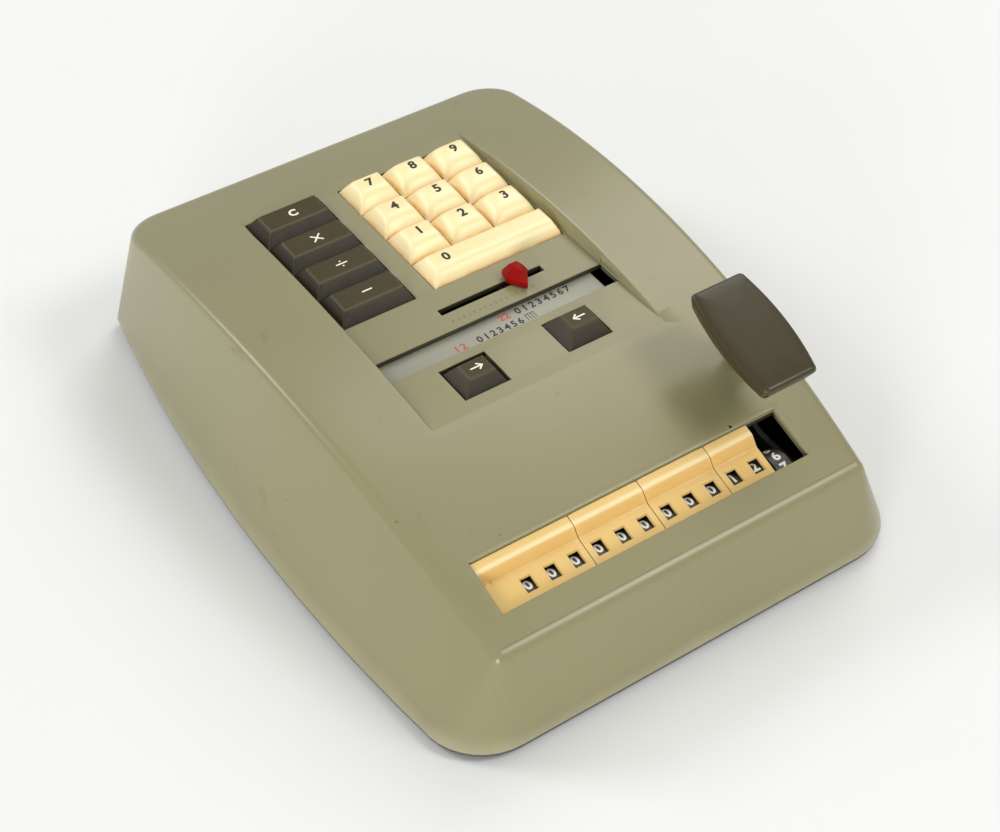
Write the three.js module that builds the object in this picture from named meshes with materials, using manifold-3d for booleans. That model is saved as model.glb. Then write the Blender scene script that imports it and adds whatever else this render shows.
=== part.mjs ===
// A hand-operated ten-key desk calculator: moulded casing, sheet base, key levers, a press-down
// drive lever with its sector and pinion, a sliding setting carriage and a number-wheel register.
// Millimetres. +X is to the user's right, -Y faces the user, +Z is up. The origin is on the table,
// under the middle of the casing.
import * as THREE from "three";
import { mergeVertices } from "three/addons/utils/BufferGeometryUtils.js";
import Module from "manifold-3d";

const wasm = await Module();
wasm.setup();

// ---- Driving dimensions ----------------------------------------------------------------------

const GAP = 0.3; // between pieces that touch

const foot = { radius: 9, height: 1.9, x: 66, yFront: 96, yBack: 80, sides: 18 };
const base = { bottom: 2.2, thickness: 1.5, inset: 0.8 };

// The casing: a body with bowed sides whose top is one long arc from back to front.
const casing = {
  bottom: 4,
  halfLength: 120.7,
  wall: 2.5,
  roof: 3,
  crownY: 22.5,
  crownZ: 63.2,
  crownRadius: 378.9,
  lean: { front: 0.21, back: 0.194 },
  // Each corner's radius at the hem, and what it gains for each millimetre of height.
  corner: { front: { hem: 22, gain: -0.557 }, back: { hem: 4, gain: 0.245 }, least: 0.4 },
  loftTop: 70,
};
const baseHalfWidth = (y) => 93.6 - 0.018 * y - 6.94e-4 * y * y;
const topHalfWidth = (y) => 77.3 + 0.0395 * y - 2.4e-4 * y * y;
const crown = (y) => casing.crownZ - (y - casing.crownY) ** 2 / (2 * casing.crownRadius);

// The flat keyboard panel sunk into the crown.
const panel = { z: 58, halfWidth: 45, thickness: 2, rim: 3, yFront: -60, yBack: 100 };

const digitField = {
  x0: -8.4,
  yBack: 79.2,
  pitchX: 17.5,
  pitchY: 16,
  columns: 3,
  rows: 3,
  zeroLength: 15.5,
};
const functionKeys = ["key_clear", "key_multiply", "key_divide", "key_minus"]; // from the back
const functionField = { x0: -44.5, x1: -15.9, yBack: 80.7, pitchY: 16.3 };
// The shift-right key rests a little lower than its neighbour.
const arrowField = { width: 17.5, yBack: -18.4, yFront: -34.2 };
const arrowKeys = [
  { name: "key_shift_right", x0: -29.2, sunk: 1.5 },
  { name: "key_shift_left", x0: 10.8, sunk: 0 },
];
// The long zero key lies in front of the three rows.
const zeroKey = {
  right: digitField.x0 + digitField.columns * digitField.pitchX,
  back: digitField.yBack - digitField.rows * digitField.pitchY,
  front: digitField.yBack - digitField.rows * digitField.pitchY - digitField.zeroLength,
};
const keyGap = 0.35;
const capBottom = 49;
const stem = { size: 5, bottom: 36, clearance: 0.6 };

const openingBottom = 30; // the openings are cut down to here, through the roof and the panel
const openingTop = 80;

// The pointer: an arrow-shaped knob, its shank through the slot and a slider under the panel.
const pointer = {
  x: 17,
  y: 5.1,
  slotX0: -13.5,
  slotX1: 27.6,
  slotWidth: 3,
  shank: 2.2,
  lift: 0.4,
  rim: 2.6,
  top: 64,
  topShare: 0.5,
  sliderX: 6,
  sliderY: 4,
  sliderHeight: 3,
  plan: [
    [0, -7],
    [4.3, -0.6],
    [3.2, 4],
    [-3.2, 4],
    [-4.3, -0.6],
  ],
};
const scaleWindow = { yBack: -4.3, yFront: -14.6 };
const strip = { x0: -47, x1: 41, overlap: 1.6, thickness: 0.7 };
const carriage = {
  x0: -12,
  x1: 38,
  yBack: -4.6,
  yFront: -14.4,
  bottom: 44.6,
  railZ: 48.6,
  railRadius: 2,
  notchPitch: 4,
  notchDepth: 3,
};

// The register: its window in the casing, the sliding mask under it and the wheels below.
const register = {
  x0: -61,
  x1: 55.6,
  yBack: -83.9,
  yFront: -102,
  wheelCount: 12,
  firstWheelX: -47.3,
  pitch: 8.72,
  wheelY: -95.6,
  wheelZ: 31.4,
  wheelRadius: 8.3,
  wheelWidth: 6.4,
  shaftRadius: 2,
};
const mask = {
  groups: [3, 3, 3, 2],
  hiddenEnd: -69.2,
  shelfDrop: 3.4,
  shelfThickness: 1.1,
  rimDrop: 0.7,
  rimBack: -84.3,
  rimFront: -87.6,
  stepFront: -90.4,
  shelfBack: -80.6,
  shelfFront: -105.4,
  joint: 0.35,
  windowX: 3.8,
  windowY: 4.8,
};

// The side frames, and the round bars that tie them together.
const frame = {
  x: 54,
  thickness: 2,
  bottom: 4,
  top: 50,
  back: 94,
  front: -104,
  step: -38,
  noseBack: -82,
  noseTop: 36,
};
const tieBar = { radius: 3, rear: { y: 86, z: 20 }, front: { y: -76, z: 12 } };
const guide = { z: 40, thickness: 2, back: 88, front: -40 };

// The comb whose fingers keep each wheel on a figure.
const comb = { distance: 5, thickness: 3, bottom: 16, top: 26 };
const finger = { half: 1, bottom: 24, top: 25, gap: 0.5 };

// The drive: the lever turns on its shaft and its toothed sector turns the main shaft.
const lever = {
  y: 20,
  z: 26,
  shaftRadius: 3,
  armX: 57.5,
  armThickness: 3,
  hubRadius: 7.5,
  neckBack: -60,
  neckFront: -70,
  slotX0: 55,
  slotX1: 60,
  slotBack: -57.5,
  slotFront: -78.5,
  shaftEnd: 71,
};
const gear = {
  module: 1,
  sectorTeeth: 60,
  pinionTeeth: 12,
  addendum: 0.85,
  dedendum: 1.25,
  rootShare: 0.56,
  tipShare: 0.22,
};
const cam = { xs: [-40, 8], width: 4, radius: 5, throw: 1.5 };
const spring = { x: 60.6, length: 8.5, radius: 5, wire: 0.5, turns: 5 };
const pad = {
  x: 51.1,
  y: -75.7,
  z: 78.3,
  tilt: 17,
  length: 40.7,
  endWidth: 19.8,
  bow: 2.4,
  thickness: 7,
};
const boss = { radius: 4, x: 68, yFront: -74, yBack: 96, hole: 1.9 };
const screw = { shank: 1.5, head: 3, headThickness: 1, length: 14, sides: 10 };
const screwYs = [boss.yFront, boss.yBack];

const COLOURS = {
  casing: [0xa09b7a, 0.5, 0],
  base: [0x4a4a46, 0.6, 0.2],
  rubber: [0x2c2b29, 0.9, 0],
  steel: [0x9a9c9e, 0.4, 0.9],
  brass: [0xb59a55, 0.4, 0.9],
  cream: [0xeadcab, 0.35, 0],
  dark: [0x4d4638, 0.4, 0],
  red: [0xb8281b, 0.35, 0],
  strip: [0x9c9c94, 0.5, 0.2],
  mask: [0xe2c47f, 0.45, 0],
  wheel: [0x1c1c1b, 0.5, 0],
};

// ---- Geometry helpers ------------------------------------------------------------------------

// A closed geometry as a manifold solid.
function solid(geometry) {
  const bare = geometry.clone();
  bare.deleteAttribute("normal");
  bare.deleteAttribute("uv");
  const merged = mergeVertices(bare, 1e-4);
  return new wasm.Manifold(
    new wasm.Mesh({
      numProp: 3,
      vertProperties: new Float32Array(merged.attributes.position.array),
      triVerts: new Uint32Array(merged.index.array),
    }),
  );
}

// A manifold solid back as a three.js geometry.
function geometryOf(made) {
  const mesh = made.getMesh();
  const geometry = new THREE.BufferGeometry();
  geometry.setAttribute("position", new THREE.BufferAttribute(mesh.vertProperties, 3));
  geometry.setIndex(new THREE.BufferAttribute(mesh.triVerts, 1));
  return geometry;
}

const cut = (body, ...tools) => tools.reduce((made, tool) => made.subtract(solid(tool)), body);
const join = (body, ...others) => others.reduce((made, other) => made.add(solid(other)), body);

// A box between two corners.
function box([x0, y0, z0], [x1, y1, z1]) {
  const geometry = new THREE.BoxGeometry(x1 - x0, y1 - y0, z1 - z0);
  return geometry.translate((x0 + x1) / 2, (y0 + y1) / 2, (z0 + z1) / 2);
}

// A cylinder along X or Z.
function rodX(radius, x0, x1, y, z, sides = 16) {
  const geometry = new THREE.CylinderGeometry(radius, radius, x1 - x0, sides);
  return geometry.rotateZ(Math.PI / 2).translate((x0 + x1) / 2, y, z);
}

function rodZ(radius, x, y, z0, z1, sides = 16) {
  const geometry = new THREE.CylinderGeometry(radius, radius, z1 - z0, sides);
  return geometry.rotateX(Math.PI / 2).translate(x, y, (z0 + z1) / 2);
}

// An outline of [y, z] points drawn out along X.
function alongX(points, x0, x1) {
  const shape = new THREE.Shape(points.map(([y, z]) => new THREE.Vector2(y, z)));
  const geometry = new THREE.ExtrudeGeometry(shape, { depth: x1 - x0, bevelEnabled: false });
  const turned = new THREE.Matrix4().makeBasis(
    new THREE.Vector3(0, 1, 0),
    new THREE.Vector3(0, 0, 1),
    new THREE.Vector3(1, 0, 0),
  );
  return geometry.applyMatrix4(turned).translate(x0, 0, 0);
}

// A closed skin over rings of points, each ring anticlockwise from above, from the lowest up.
function loft(rings) {
  const count = rings[0].length;
  const positions = rings.flat(2);
  const faces = [];
  for (let k = 0; k < rings.length - 1; k++) {
    for (let i = 0; i < count; i++) {
      const next = (i + 1) % count;
      const [a, b] = [k * count + i, k * count + next];
      faces.push(a, b, b + count, a, b + count, a + count);
    }
  }
  const last = (rings.length - 1) * count;
  for (let i = 1; i < count - 1; i++) {
    faces.push(0, i + 1, i);
    faces.push(last, last + i, last + i + 1);
  }
  const geometry = new THREE.BufferGeometry();
  geometry.setAttribute("position", new THREE.Float32BufferAttribute(positions, 3));
  geometry.setIndex(faces);
  return geometry;
}

const rectangle = (x0, x1, y0, y1, z) => [
  [x0, y0, z],
  [x1, y0, z],
  [x1, y1, z],
  [x0, y1, z],
];

const group = new THREE.Group();

function piece(name, geometry, finish) {
  const [color, roughness, metalness] = COLOURS[finish];
  const material = new THREE.MeshStandardMaterial({ color, roughness, metalness });
  const mesh = new THREE.Mesh(geometry, material);
  mesh.name = name;
  group.add(mesh);
}

// ---- Casing ----------------------------------------------------------------------------------

// How far the side stands from the middle at a height, on the straight line from hem to crown.
function halfWidth(y, z) {
  const share = (z - casing.bottom) / (crown(y) - casing.bottom);
  return baseHalfWidth(y) + (topHalfWidth(y) - baseHalfWidth(y)) * share;
}

// The plan outline at a height, drawn in by an inset, with rounded corners.
function outline(z, inset) {
  const rise = z - casing.bottom;
  const round = ({ hem, gain }) => Math.max(hem + gain * rise - inset, casing.corner.least);
  const frontRound = round(casing.corner.front);
  const backRound = round(casing.corner.back);
  const front = -casing.halfLength + casing.lean.front * rise + inset;
  const back = casing.halfLength - casing.lean.back * rise - inset;
  const stations = 10;
  const cornerSteps = 5;
  const half = [];
  const width = (y) => halfWidth(y, z) - inset;
  for (let i = 0; i < cornerSteps; i++) {
    const angle = (Math.PI / 2) * (1 - i / cornerSteps);
    const centre = front + frontRound;
    const across = width(centre) - frontRound * (1 - Math.cos(angle));
    half.push([across, centre - frontRound * Math.sin(angle)]);
  }
  for (let i = 0; i <= stations; i++) {
    const y = THREE.MathUtils.lerp(front + frontRound, back - backRound, i / stations);
    half.push([width(y), y]);
  }
  for (let i = 1; i <= cornerSteps; i++) {
    const angle = (Math.PI / 2) * (i / cornerSteps);
    const centre = back - backRound;
    const across = width(centre) - backRound * (1 - Math.cos(angle));
    half.push([across, centre + backRound * Math.sin(angle)]);
  }
  const mirrored = half.map(([x, y]) => [-x, y]).reverse();
  return [...half, ...mirrored].map(([x, y]) => [x, y, z]);
}

// The block under the crown's arc, lowered by a drop.
function underCrown(drop) {
  const reach = casing.halfLength + 5;
  const side = 100;
  const steps = 28;
  const points = [
    [-reach, 0],
    [reach, 0],
  ];
  for (let i = 0; i <= steps; i++) {
    const y = reach - (2 * reach * i) / steps;
    points.push([y, crown(y) - drop]);
  }
  return alongX(points, -side, side);
}

function buildCasing() {
  const middleLevel = (casing.bottom + casing.loftTop) / 2;
  const skin = (bottom, inset) =>
    solid(loft([bottom, middleLevel, casing.loftTop].map((z) => outline(z, inset))));
  const outer = skin(casing.bottom, 0);
  const inner = skin(casing.bottom - 1, casing.wall);
  const wide = panel.halfWidth + panel.rim;
  const underPanel = panel.z - panel.thickness;
  const aboveSheet = box([-wide, panel.yFront, underPanel], [wide, panel.yBack, openingTop]);
  const cavity = inner.intersect(solid(underCrown(casing.roof))).subtract(solid(aboveSheet));
  let shell = outer.intersect(solid(underCrown(0))).subtract(cavity);
  for (const side of [-1, 1]) {
    for (const y of screwYs) {
      const top = crown(y) - casing.roof / 2;
      shell = join(shell, rodZ(boss.radius, side * boss.x, y, casing.bottom + GAP, top, 12));
      shell = cut(shell, rodZ(boss.hole, side * boss.x, y, 0, casing.bottom + screw.length, 10));
    }
  }
  const hole = (x0, x1, y0, y1) => box([x0, y0, openingBottom], [x1, y1, openingTop]);
  const functionFront = functionField.yBack - functionKeys.length * functionField.pitchY;
  const { width, yFront, yBack } = arrowField;
  const arrows = arrowKeys.map(({ x0 }) => hole(x0, x0 + width, yFront, yBack));
  const halfSlot = pointer.slotWidth / 2;
  return cut(
    shell,
    box([-panel.halfWidth, panel.yFront, panel.z], [panel.halfWidth, panel.yBack, openingTop]),
    hole(digitField.x0, zeroKey.right, zeroKey.front, digitField.yBack),
    hole(functionField.x0, functionField.x1, functionFront, functionField.yBack),
    ...arrows,
    hole(pointer.slotX0, pointer.slotX1, pointer.y - halfSlot, pointer.y + halfSlot),
    hole(-panel.halfWidth, panel.halfWidth, scaleWindow.yFront, scaleWindow.yBack),
    hole(register.x0, register.x1, register.yFront, register.yBack),
    hole(lever.slotX0, lever.slotX1, lever.slotFront, lever.slotBack),
  );
}

piece("casing", geometryOf(buildCasing()), "casing");

// ---- Base, feet and screws -------------------------------------------------------------------

const baseTop = base.bottom + base.thickness;

function buildBase() {
  const edge = outline(casing.bottom, base.inset);
  const level = (z) => edge.map(([x, y]) => [x, y, z]);
  let plate = solid(loft([level(base.bottom), level(baseTop)]));
  for (const side of [-1, 1]) {
    for (const y of screwYs) {
      plate = cut(plate, rodZ(boss.hole, side * boss.x, y, 0, baseTop + 1, 10));
    }
  }
  return geometryOf(plate);
}

piece("base_plate", buildBase(), "base");

function buildScrew(x, y) {
  const top = base.bottom - GAP;
  const bottom = top - screw.headThickness;
  const head = rodZ(screw.head, x, y, bottom, top, screw.sides);
  const shank = rodZ(screw.shank, x, y, bottom + screw.headThickness / 2, screw.length, screw.sides);
  return geometryOf(join(solid(head), shank));
}

const sides = { left: -1, right: 1 };
const ends = {
  front: { footY: -foot.yFront, screwY: boss.yFront },
  rear: { footY: foot.yBack, screwY: boss.yBack },
};
for (const [sideName, side] of Object.entries(sides)) {
  for (const [endName, { footY, screwY }] of Object.entries(ends)) {
    const pedestal = rodZ(foot.radius, side * foot.x, footY, 0, foot.height, foot.sides);
    piece(`foot_${endName}_${sideName}`, pedestal, "rubber");
    piece(`base_screw_${endName}_${sideName}`, buildScrew(side * boss.x, screwY), "steel");
  }
}

// ---- Inner frame -----------------------------------------------------------------------------

const mainShaft = {
  y: lever.y + (gear.module * (gear.sectorTeeth + gear.pinionTeeth)) / 2,
  z: lever.z,
  radius: 3,
};

function buildSideFrame(side) {
  const { x, thickness, bottom, top, back, front, step, noseBack, noseTop } = frame;
  const profile = [
    [front, bottom],
    [back, bottom],
    [back, top],
    [step, top],
    [noseBack, noseTop],
    [front, noseTop],
  ];
  const x0 = side * x - thickness / 2;
  const x1 = side * x + thickness / 2;
  const through = (radius, y, z) => rodX(radius + GAP, x0 - 1, x1 + 1, y, z, 16);
  return geometryOf(
    cut(
      solid(alongX(profile, x0, x1)),
      through(lever.shaftRadius, lever.y, lever.z),
      through(mainShaft.radius, mainShaft.y, mainShaft.z),
      through(register.shaftRadius, register.wheelY, register.wheelZ),
    ),
  );
}

piece("side_frame_left", buildSideFrame(-1), "steel");
piece("side_frame_right", buildSideFrame(1), "steel");

const between = frame.x - frame.thickness / 2 - GAP;
const outside = frame.x + frame.thickness / 2 + GAP;
const barBetween = (radius, y, z) => rodX(radius, -between, between, y, z);
const railY = (carriage.yBack + carriage.yFront) / 2;
piece("rear_tie_bar", barBetween(tieBar.radius, tieBar.rear.y, tieBar.rear.z), "steel");
piece("front_tie_bar", barBetween(tieBar.radius, tieBar.front.y, tieBar.front.z), "steel");
piece("carriage_rail", barBetween(carriage.railRadius, railY, carriage.railZ), "steel");

// ---- Keys ------------------------------------------------------------------------------------

// How high a cap's land stands over the panel, and how far each slope runs in from the cap's edge.
const DIGIT_SHAPE = { height: 4.3, left: 4.3, right: 2.3, back: 2.6, front: 5.6 };
const ZERO_SHAPE = { height: 4, left: 4.3, right: 1.6, back: 3, front: 4.6 };
const FUNCTION_SHAPE = { height: 3.6, left: 3.9, right: 2, back: 2.2, front: 4.2 };
const ARROW_SHAPE = { height: 4, left: 5, right: 2.6, back: 3.2, front: 4.8 };
const skirtDrop = 0.4; // the slopes start this far under the panel's face

const stemPlaces = [];

// A cap with a skirt in its opening, four slopes and a flat land, on a square stem.
function keyCap(x0, x1, y0, y1, shape, sunk = 0) {
  const [left, right, front, back] = [x0 + keyGap, x1 - keyGap, y0 + keyGap, y1 - keyGap];
  const landZ = panel.z + shape.height;
  const cap = loft([
    rectangle(left, right, front, back, capBottom),
    rectangle(left, right, front, back, panel.z - skirtDrop),
    rectangle(left + shape.left, right - shape.right, front + shape.front, back - shape.back, landZ),
  ]);
  const [midX, midY] = [(x0 + x1) / 2, (y0 + y1) / 2];
  const half = stem.size / 2;
  const post = box([midX - half, midY - half, stem.bottom], [midX + half, midY + half, capBottom + 0.5]);
  stemPlaces.push([midX, midY]);
  return geometryOf(join(solid(cap), post)).translate(0, 0, -sunk);
}

for (let row = 0; row < digitField.rows; row++) {
  for (let column = 0; column < digitField.columns; column++) {
    const digit = 7 - 3 * row + column;
    const x0 = digitField.x0 + column * digitField.pitchX;
    const y1 = digitField.yBack - row * digitField.pitchY;
    const cap = keyCap(x0, x0 + digitField.pitchX, y1 - digitField.pitchY, y1, DIGIT_SHAPE);
    piece(`key_${digit}`, cap, "cream");
  }
}
const zeroCap = keyCap(digitField.x0, zeroKey.right, zeroKey.front, zeroKey.back, ZERO_SHAPE);
piece("key_0", zeroCap, "cream");

functionKeys.forEach((name, row) => {
  const y1 = functionField.yBack - row * functionField.pitchY;
  const y0 = y1 - functionField.pitchY;
  piece(name, keyCap(functionField.x0, functionField.x1, y0, y1, FUNCTION_SHAPE), "dark");
});

for (const { name, x0, sunk } of arrowKeys) {
  const x1 = x0 + arrowField.width;
  piece(name, keyCap(x0, x1, arrowField.yFront, arrowField.yBack, ARROW_SHAPE, sunk), "dark");
}

// The plate that guides every key stem.
function buildGuidePlate() {
  const top = guide.z + guide.thickness;
  const plate = solid(box([-between, guide.front, guide.z], [between, guide.back, top]));
  const half = (stem.size + stem.clearance) / 2;
  const holes = stemPlaces.map(([x, y]) =>
    box([x - half, y - half, guide.z - 1], [x + half, y + half, top + 1]),
  );
  return geometryOf(cut(plate, ...holes));
}

piece("key_guide_plate", buildGuidePlate(), "steel");

// ---- Pointer, scale strip and setting carriage ----------------------------------------------

function buildPointer() {
  const { x, y, plan, lift, rim, top, topShare, sliderX, sliderY, sliderHeight } = pointer;
  const ring = (share, z) => plan.map(([px, py]) => [x + px * share, y + py * share, z]);
  const arrow = loft([ring(1, panel.z + lift), ring(1, panel.z + rim), ring(topShare, top)]);
  const half = pointer.shank / 2;
  const sliderTop = panel.z - panel.thickness - GAP;
  const sliderMiddle = sliderTop - sliderHeight / 2;
  const shank = box([x - half, y - half, sliderMiddle], [x + half, y + half, panel.z + lift + 1]);
  const slider = box(
    [x - sliderX, y - sliderY, sliderTop - sliderHeight],
    [x + sliderX, y + sliderY, sliderTop],
  );
  return geometryOf(join(solid(arrow), shank, slider));
}

piece("pointer_knob", buildPointer(), "red");

const stripTop = panel.z - panel.thickness - GAP;
piece(
  "scale_strip",
  box(
    [strip.x0, scaleWindow.yFront - strip.overlap, stripTop - strip.thickness],
    [strip.x1, scaleWindow.yBack + strip.overlap, stripTop],
  ),
  "strip",
);

function buildSettingCarriage() {
  const { x0, x1, yBack, yFront, bottom, railZ, railRadius, notchPitch, notchDepth } = carriage;
  const block = solid(box([x0, yFront, bottom], [x1, yBack, stripTop - strip.thickness - GAP]));
  const bore = rodX(railRadius + GAP, x0 - 1, x1 + 1, railY, railZ);
  const notches = [];
  const half = notchPitch / 2;
  for (let x = x0 + half; x < x1 - half; x += notchPitch) {
    notches.push(box([x, yFront - 1, bottom - 1], [x + half, yFront + half, bottom + notchDepth]));
  }
  return geometryOf(cut(block, bore, ...notches));
}

piece("setting_carriage", buildSettingCarriage(), "steel");

// ---- Register --------------------------------------------------------------------------------

const frameFace = frame.x + frame.thickness / 2;
const wheelAxis = [register.wheelY, register.wheelZ];
piece("wheel_shaft", rodX(register.shaftRadius, -frameFace, frameFace, ...wheelAxis), "steel");

for (let i = 0; i < register.wheelCount; i++) {
  const x = register.firstWheelX + i * register.pitch;
  const half = register.wheelWidth / 2;
  const rim = rodX(register.wheelRadius, x - half, x + half, ...wheelAxis, 20);
  const bore = rodX(register.shaftRadius + GAP, x - half - 1, x + half + 1, ...wheelAxis);
  piece(`number_wheel_${i + 1}`, geometryOf(cut(solid(rim), bore)), "wheel");
}

// One group of the mask: a shelf with a small window over each wheel and a raised rim behind.
function buildMask(x0, x1, firstWheel, count) {
  const { shelfDrop, shelfThickness, rimDrop, rimBack, rimFront, stepFront, shelfBack, shelfFront } = mask;
  const shelf = [];
  const under = [];
  const steps = 4;
  for (let i = 0; i <= steps; i++) {
    const y = THREE.MathUtils.lerp(shelfFront, shelfBack, i / steps);
    shelf.push([y, crown(y) - shelfDrop]);
    under.push([y, crown(y) - shelfDrop - shelfThickness]);
  }
  const rimFoot = shelfDrop + shelfThickness / 2;
  const rim = [
    [stepFront, crown(stepFront) - rimFoot],
    [rimBack, crown(rimBack) - rimFoot],
    [rimBack, crown(rimBack) - rimDrop],
    [rimFront, crown(rimFront) - rimDrop],
    [stepFront, crown(stepFront) - shelfDrop],
  ];
  let made = solid(alongX([...under, ...shelf.reverse()], x0, x1));
  made = join(made, alongX(rim, Math.max(x0, register.x0 + GAP), x1));
  for (let i = firstWheel; i < firstWheel + count; i++) {
    const x = register.firstWheelX + i * register.pitch;
    const halfX = mask.windowX / 2;
    const [y0, y1] = [-1, 1].map((end) => register.wheelY + (end * mask.windowY) / 2);
    made = cut(made, box([x - halfX, y0, openingBottom], [x + halfX, y1, openingTop]));
  }
  return geometryOf(made);
}

let wheelIndex = 0;
mask.groups.forEach((count, i) => {
  const edge = (wheel) => register.firstWheelX + (wheel - 0.5) * register.pitch;
  const x0 = i === 0 ? mask.hiddenEnd : edge(wheelIndex) + mask.joint / 2;
  const x1 = edge(wheelIndex + count) - mask.joint / 2;
  piece(`register_mask_${i + 1}`, buildMask(x0, x1, wheelIndex, count), "mask");
  wheelIndex += count;
});

function buildDetentComb() {
  const rimBack = register.wheelY + register.wheelRadius;
  const back = rimBack + comb.distance;
  const bar = solid(box([-between, back, comb.bottom], [between, back + comb.thickness, comb.top]));
  const { half, bottom, top, gap } = finger;
  const fingers = [];
  for (let i = 0; i < register.wheelCount; i++) {
    const x = register.firstWheelX + i * register.pitch;
    fingers.push(box([x - half, rimBack + gap, bottom], [x + half, back + 1, top]));
  }
  return geometryOf(join(bar, ...fingers));
}

piece("detent_comb", buildDetentComb(), "steel");

// ---- Lever and drive -------------------------------------------------------------------------

const leverShaft = rodX(lever.shaftRadius, -frameFace, lever.shaftEnd, lever.y, lever.z);
piece("lever_shaft", leverShaft, "steel");

// One straight-sided tooth of the given pitch radius, pointing along an angle in the YZ plane.
function tooth(pitchRadius, angle, centre, x0, x1) {
  const [root, tip] = [pitchRadius - gear.dedendum - GAP, pitchRadius + gear.addendum];
  const halfPitch = (Math.PI * gear.module) / 2;
  const [rootHalf, tipHalf] = [halfPitch * gear.rootShare, halfPitch * gear.tipShare];
  const corners = [
    [root, -rootHalf],
    [tip, -tipHalf],
    [tip, tipHalf],
    [root, rootHalf],
  ];
  const [c, s] = [Math.cos(angle), Math.sin(angle)];
  const placed = corners.map(([r, t]) => [centre[0] + r * c - t * s, centre[1] + r * s + t * c]);
  return alongX(placed, x0, x1);
}

// The top of the pad's neck follows the pad's tilted underside.
const padSlope = Math.tan(THREE.MathUtils.degToRad(pad.tilt));
const padUnder = (y) => pad.z + (y - pad.y) * padSlope - pad.thickness / Math.cos(Math.atan(padSlope));

function buildLeverArm() {
  const [x0, x1] = [lever.armX - lever.armThickness / 2, lever.armX + lever.armThickness / 2];
  const { neckBack, neckFront, hubRadius, y, z } = lever;
  const arm = [
    [y, z - hubRadius + 0.6],
    [y, z + hubRadius - 0.6],
    [-50, 41],
    [neckBack, 49],
    [neckBack, padUnder(neckBack) - 1.5 * GAP],
    [neckFront, padUnder(neckFront) - 1.5 * GAP],
    [neckFront, 35],
    [neckFront + 8, 28],
  ].reverse();
  const centre = [y, z];
  const sectorRadius = (gear.module * gear.sectorTeeth) / 2;
  const step = (2 * Math.PI) / gear.sectorTeeth;
  const rootRadius = sectorRadius - gear.dedendum;
  const fan = [[y, z]];
  for (let k = -3.5; k <= 1.5; k += 1) {
    fan.push([y + rootRadius * Math.cos(k * step), z + rootRadius * Math.sin(k * step)]);
  }
  let made = join(solid(alongX(arm, x0, x1)), rodX(hubRadius, x0, x1, y, z, 20), alongX(fan, x0, x1));
  for (let k = -3; k <= 1; k++) {
    made = join(made, tooth(sectorRadius, k * step, centre, x0, x1));
  }
  return geometryOf(cut(made, rodX(lever.shaftRadius + GAP, x0 - 1, x1 + 1, y, z)));
}

piece("lever_arm", buildLeverArm(), "steel");

function buildPad() {
  const steps = 8;
  const ring = (inset, z) => {
    const half = [];
    for (let i = 0; i <= steps; i++) {
      const share = (2 * i) / steps - 1;
      const width = pad.endWidth / 2 + pad.bow * (1 - share * share) - inset;
      half.push([width, share * (pad.length / 2 - inset)]);
    }
    const mirrored = half.map(([x, y]) => [-x, y]).reverse();
    return [...half, ...mirrored].map(([x, y]) => [x, y, z]);
  };
  const skin = loft([ring(1.6, -pad.thickness), ring(0, -2.5), ring(0, -1.5), ring(1.2, 0)]);
  return skin.rotateX(THREE.MathUtils.degToRad(pad.tilt)).translate(pad.x, pad.y, pad.z);
}

piece("lever_pad", buildPad(), "dark");

function buildMainShaft() {
  const { y, z, radius } = mainShaft;
  const pinionRadius = (gear.module * gear.pinionTeeth) / 2;
  const [x0, x1] = [outside, lever.armX + lever.armThickness / 2 + 1];
  const rod = rodX(radius, -frameFace, x1, y, z);
  let made = join(solid(rod), rodX(pinionRadius - gear.dedendum, x0, x1, y, z, 24));
  for (let k = 0; k < gear.pinionTeeth; k++) {
    const angle = ((k + 0.5) * 2 * Math.PI) / gear.pinionTeeth;
    made = join(made, tooth(pinionRadius, angle, [y, z], x0, x1));
  }
  for (const x of cam.xs) {
    made = join(made, rodX(cam.radius, x, x + cam.width, y, z - cam.throw, 20));
  }
  return geometryOf(made);
}

piece("main_shaft", buildMainShaft(), "steel");

// The torsion spring that brings the lever back up, coiled round the lever shaft.
class Coil extends THREE.Curve {
  getPoint(t) {
    const angle = 2 * Math.PI * spring.turns * t;
    const y = lever.y + spring.radius * Math.cos(angle);
    const z = lever.z + spring.radius * Math.sin(angle);
    return new THREE.Vector3(spring.x + spring.length * t, y, z);
  }
}

function buildLeverSpring() {
  const wire = new THREE.Shape();
  wire.absarc(0, 0, spring.wire, 0, 2 * Math.PI);
  const steps = spring.turns * 12;
  return new THREE.ExtrudeGeometry(wire, { steps, curveSegments: 3, extrudePath: new Coil() });
}

piece("lever_spring", buildLeverSpring(), "steel");

export default group;
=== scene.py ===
"""The looks of a hand-operated ten-key desk calculator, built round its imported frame.

Shapes are worked out in millimetres and made into pieces in metres, in the frame's own axes:
+X to the user's right, -Y towards the user, +Z up, the origin on the table under the casing.
"""

import logging
import math
from dataclasses import dataclass, field
from enum import Enum
from typing import Callable

import bmesh
import bpy
from mathutils import Matrix, Vector


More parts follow.
